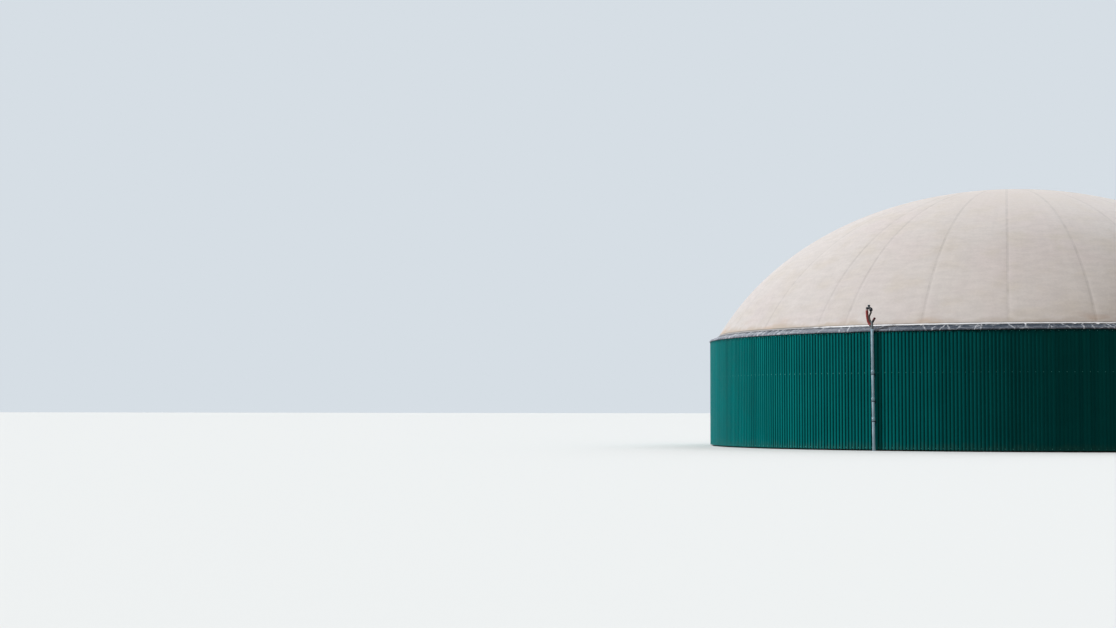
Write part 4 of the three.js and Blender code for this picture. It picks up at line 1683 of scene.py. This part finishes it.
@dataclass
class PipeBrackets:
    """Weathered two-part clamps with ears, bolts, an arm and a foot plate on the cladding."""

    line: RiserLine
    heights: tuple[float, ...] = (1.077, 1.814, 2.804)
    pipe_radius: float = 0.0553
    ring_radius: float = 0.066
    band: float = 0.030
    arm_width: float = 0.024
    ear_width: float = 0.022
    ear_depth: float = 0.014
    bolt_radius: float = 0.0065
    cross_bolt_radius: float = 0.006
    plate: tuple[float, float, float] = (0.090, 0.008, 0.070)

    def build_ring(self) -> Piece:
        """Model the band with its rounded lips.

        Returns:
            The band.
        """
        half, inner, outer = self.band / 2, self.pipe_radius, self.ring_radius
        waist = outer - 0.003
        profile = [(inner, -half), (waist, -half), (outer, -half + 0.004), (waist, -half + 0.008)]
        profile += [(waist, half - 0.008), (outer, half - 0.004), (waist, half), (inner, half)]
        profile.append((inner, -half))
        return Bench.turned("band", profile, 36)

    def build_block(self, name: str, size: tuple[float, float, float], place: Vector) -> Piece:
        """Model a flat bar with rounded edges.

        Args:
            name: Name of the piece.
            size: Its three sides.
            place: Its middle.

        Returns:
            The bar.
        """
        block = Bench.start(name, bpy.ops.mesh.primitive_cube_add, size=1, location=place)
        with Bench.editing(block):
            bpy.ops.transform.resize(value=size)
            bpy.ops.mesh.bevel(offset=min(size) * 0.2, segments=2)
        return Bench.settle(block)

    def build_bolt(self, radius: float, place: Matrix) -> Piece:
        """Model a hexagon head with its washer.

        Args:
            radius: Radius of the head.
            place: Where it sits, with +Z outwards.

        Returns:
            The head.
        """
        rim = radius * 1.35
        profile = [(0, 0), (rim, 0), (rim, 0.0016), (radius, 0.002), (radius, 0.0065)]
        profile += [(radius * 0.8, 0.008), (0, 0.008)]
        return Bench.turned("bolt", profile, 6, place)

    def build_bracket(self) -> Piece:
        """Model one bracket round the origin, with the wall at +Y.

        Returns:
            The bracket.
        """
        _, thickness, height = self.plate
        arm_start = self.ring_radius - 0.004
        arm_end = self.line.cladding_gap - thickness
        arm_middle = Vector((0, (arm_start + arm_end) / 2, 0))
        arm_size = (self.arm_width, arm_end - arm_start, self.band * 0.8)
        parts = [
            self.build_ring(),
            self.build_block("arm", arm_size, arm_middle),
            self.build_block("foot_plate", self.plate, Vector((0, arm_end + thickness / 2, 0))),
        ]
        outwards = rotation(90, "X")
        for side in (-1, 1):
            ear = Vector((side * (self.ring_radius + 0.009), 0, 0))
            parts.append(self.build_block("ear", (self.ear_width, self.ear_depth, self.band * 0.9), ear))
            face = shift(ear.x + side * 0.002, -self.ear_depth / 2)
            parts.append(self.build_bolt(self.bolt_radius, face @ outwards))
            end = shift(y=arm_end, z=side * height * 0.34)
            parts.append(self.build_bolt(self.bolt_radius, end @ outwards))
        flank = shift(self.arm_width / 2, arm_middle.y)
        parts.append(self.build_bolt(self.cross_bolt_radius, flank @ rotation(90, "Y")))
        return Bench.join("pipe_clamp", *parts)

    def build(self) -> None:
        """Build the brackets one over the other."""
        pattern = self.build_bracket()
        for place, height in enumerate(self.heights, start=1):
            bracket = Bench.copy(pattern, f"pipe_clamp_{place}", self.line.stand(height))
            Bench.soften(bracket)
            mount(bracket, WEATHERED_ZINC, f"pipe_bracket_{place}")
        bpy.data.objects.remove(pattern)


@dataclass(frozen=True)
class Arm:
    """One arm of the branch fitting: its slant from upright, its root's height, radius and length."""

    tilt: float
    root: float
    radius: float
    length: float

    def at(self, along: float) -> Vector:
        """Point along the arm's axis."""
        turn = math.radians(self.tilt)
        return Vector((along * math.sin(turn), 0, self.root + along * math.cos(turn)))

    def place(self, along: float) -> Matrix:
        """Place along the arm, with +Z along it."""
        return shift(*self.at(along)) @ rotation(self.tilt, "Y")


@dataclass
class TopFitting:
    """Branch on the riser's head with a red pipe to a black valve, its return pipe and a side stub."""

    line: RiserLine
    gap: float = 0.0003
    branch_profile: Profile = (
        *((0, 0), (0.058, 0), (0.060, 0.003), (0.060, 0.011), (0.0575, 0.014), (0.060, 0.017)),
        *((0.060, 0.025), (0.058, 0.028), (0.055, 0.034), (0.055, 0.110), (0.052, 0.114)),
        *((0.046, 0.122), (0.044, 0.128), (0.044, 0.253), (0.042, 0.266), (0.036, 0.278)),
        *((0.026, 0.286), (0.010, 0.290), (0, 0.290)),
    )
    left: Arm = Arm(-34.6, 0.043, 0.050, 0.120)
    middle: Arm = Arm(-35, 0.190, 0.031, 0.100)
    right: Arm = Arm(32, 0.222, 0.038, 0.040)
    stub_socket_length: float = 0.078
    stub_length: float = 0.104
    stub_depth: float = 0.070
    bend_radius: float = 0.051
    pipe_top: float = 0.690
    return_radius: float = 0.033
    return_bulge: tuple[float, float] = (-0.108, 0.440)
    collar_height: float = 0.038
    valve_offset: float = -0.198
    valve_foot: float = 0.728
    valve_top: float = 0.818
    valve_left: float = -0.222
    valve_length: float = 0.181
    boss_profile: Profile = ((0, 0), (0.042, 0), (0.044, 0.004), (0.044, 0.018), (0.036, 0.032), (0, 0.032))
    outlet_offset: float = -0.037
    outlet_foot: float = 0.655
    knob_offset: float = -0.116
    knob_radius: float = 0.047
    knob_height: float = 0.075
    knob_shape: Profile = (
        *((0, 0), (0.7, 0), (0.7, 0.3), (0.94, 0.36), (1, 0.42)),
        *((1, 0.82), (0.93, 0.9), (0.7, 1), (0.3, 0.985), (0, 0.98)),
    )
    knob_flutes: int = 8
    flute_share: float = 0.09

    def finish(self, name: str, finish: Finish, node: str, *parts: Piece) -> None:
        """Join parts that are drawn from the riser's head, stand them on it and dress them.

        Args:
            name: Name of the whole piece.
            finish: Its finish.
            node: The node that it replaces.
            *parts: Its parts.
        """
        whole = Bench.join(name, *parts)
        Bench.settle(whole, self.line.stand(self.line.top + self.gap))
        Bench.soften(whole, 35)
        mount(whole, finish, node)

    def build_arm(self, arm: Arm) -> Piece:
        """Model an arm with a beaded socket at its end.

        Args:
            arm: The arm's sizes.

        Returns:
            The arm.
        """
        radius, length = arm.radius, arm.length
        neck, body = radius * 0.88, radius * 0.97
        profile = [(0, 0), (neck, 0), (neck, length * 0.5), (body, length * 0.56), (body, length - 0.016)]
        profile += [(radius, length - 0.013), (radius, length - 0.003), (body, length), (0, length)]
        return Bench.turned("arm", profile, 28, arm.place(0))

    def build_branch(self) -> None:
        """Build the grey branch with its collar and three arms."""
        body = Bench.turned("branch_body", self.branch_profile, 40)
        arms = [self.build_arm(arm) for arm in (self.left, self.middle, self.right)]
        self.finish("branch_piece", FITTING_GREY, "branch_fitting", body, *arms)

    def build_stub(self) -> None:
        """Build the black socket and the open red stub on the right arm."""
        start, length = self.right.length + self.gap, self.stub_socket_length
        profile = [(0, 0), (0.041, 0), (0.043, 0.003), (0.043, 0.020), (0.0405, 0.024), (0.0405, 0.034)]
        profile += [(0.043, 0.038), (0.043, length - 0.003), (0.041, length), (0, length)]
        socket = Bench.turned("socket", profile, 32, self.right.place(start))
        self.finish("stub_coupler", BLACK, "stub_socket", socket)
        mouth, floor = self.stub_length, self.stub_length - self.stub_depth
        profile = [(0, 0), (0.043, 0), (0.043, mouth - 0.002), (0.042, mouth)]
        profile += [(0.037, mouth), (0.037, floor), (0, floor)]
        stub = Bench.turned("stub", profile, 32, self.right.place(start + length + self.gap))
        self.finish("open_stub", MAROON, "side_stub", stub)

    def build_pipes(self) -> None:
        """Build the bent red pipe up to the valve and the thinner return pipe from it."""
        start = self.left.length + self.gap
        head = Vector((self.valve_offset, 0, self.pipe_top))
        points = [self.left.at(start), self.left.at(start + 0.100), head - Vector((0, 0, 0.385)), head]
        bend = Bench.tube("red_bend", points, self.bend_radius)
        self.finish("red_bend", RED_BROWN, "elbow_pipe", bend)
        start = self.middle.length + self.gap
        outlet = Vector((self.outlet_offset, 0, self.outlet_foot - self.gap))
        side, height = self.return_bulge
        points = [outlet, outlet - Vector((0, 0, 0.090))]
        points += [Vector((side, 0, height + over)) for over in (0.090, 0, -0.080)]
        points += [self.middle.at(start + 0.040), self.middle.at(start)]
        bend = Bench.tube("return_bend", points, self.return_radius)
        self.finish("return_bend", HOSE_GREY, "return_pipe", bend)

    def build_collar(self) -> None:
        """Build the pale rubber sleeve between the red pipe and the valve."""
        height = self.collar_height - 2 * self.gap
        profile = [(0, 0), (0.047, 0), (0.050, 0.004)]
        for groove in (0.010, 0.025):
            profile += [(0.050, groove - 0.003), (0.0475, groove), (0.050, groove + 0.003)]
        profile += [(0.050, height - 0.004), (0.047, height), (0, height)]
        sleeve = Bench.turned("sleeve", profile, 32, shift(self.valve_offset, z=self.pipe_top + self.gap))
        self.finish("valve_sleeve", PALE_RUBBER, "valve_collar", sleeve)

    def build_valve(self) -> None:
        """Build the black valve: a level barrel with two unions, an inlet boss and an outlet elbow."""
        middle = (self.valve_foot + self.valve_top) / 2
        half = (self.valve_top - self.valve_foot) / 2
        neck, nut, length = half - 0.003, half + 0.002, self.valve_length
        profile = [(0, 0), (half - 0.005, 0), (half, 0.005), (half, 0.044), (neck, 0.048), (neck, 0.056)]
        for foot in (0.060, 0.120):
            profile += [(nut, foot), (nut, foot + 0.027), (neck, foot + 0.031), (neck, foot + 0.055)]
        profile[-1] = (neck - 0.002, length - 0.007)
        profile += [(neck - 0.010, length), (0, length)]
        barrel = Bench.turned("barrel", profile, 20, shift(self.valve_left, z=middle) @ rotation(90, "Y"))
        boss = Bench.turned("boss", self.boss_profile, 28, shift(self.valve_offset, z=self.valve_foot))
        rise = middle + neck * 0.4 - self.outlet_foot
        profile = [(0, 0), (0.048, 0), (0.052, 0.004), (0.062, 0.034), (0.062, 0.066)]
        profile += [(0.050, rise - 0.020), (0.036, rise - 0.006), (0, rise)]
        outlet = Bench.turned("outlet", profile, 28, shift(self.outlet_offset, z=self.outlet_foot))
        self.finish("ball_valve", BLACK, "valve_body", barrel, boss, outlet)

    def build_knob(self) -> None:
        """Build the fluted blue-grey knob on the valve."""
        height = self.knob_height
        profile = [(self.knob_radius * wide, height * high) for wide, high in self.knob_shape]
        knob = Bench.turned("knob", profile, 64)
        for vertex in knob.data.vertices:
            if height * 0.33 < vertex.co.z < height * 0.92:
                ridge = math.cos(self.knob_flutes * math.atan2(vertex.co.y, vertex.co.x))
                flute = 1 - self.flute_share * max(0.0, ridge) ** 2
                vertex.co.x *= flute
                vertex.co.y *= flute
        Bench.settle(knob, shift(self.knob_offset, z=self.valve_top + self.gap))
        self.finish("fluted_knob", BLUE_GREY, "valve_knob", knob)

    def build(self) -> None:
        """Build everything on the riser's head."""
        self.build_branch()
        self.build_stub()
        self.build_pipes()
        self.build_collar()
        self.build_valve()
        self.build_knob()


def corners() -> list[list[float]]:
    """Lowest and highest corner of what shows, as plain numbers."""
    return [[float(value) for value in corner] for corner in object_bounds()]


def main() -> None:
    """Build the studio and the digester."""
    logging.basicConfig(level=logging.INFO, format="%(name)s: %(message)s")
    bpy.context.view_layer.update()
    PhotoCamera().build()
    Studio().build()
    TankBody().build()
    Cladding().build()
    ClampingEdge().build()
    WeatherApron().build()
    GasDome().build()
    line = RiserLine()
    Riser(line).build()
    PipeBrackets(line).build()
    TopFitting(line).build()


if __name__ == "__main__":
    main()
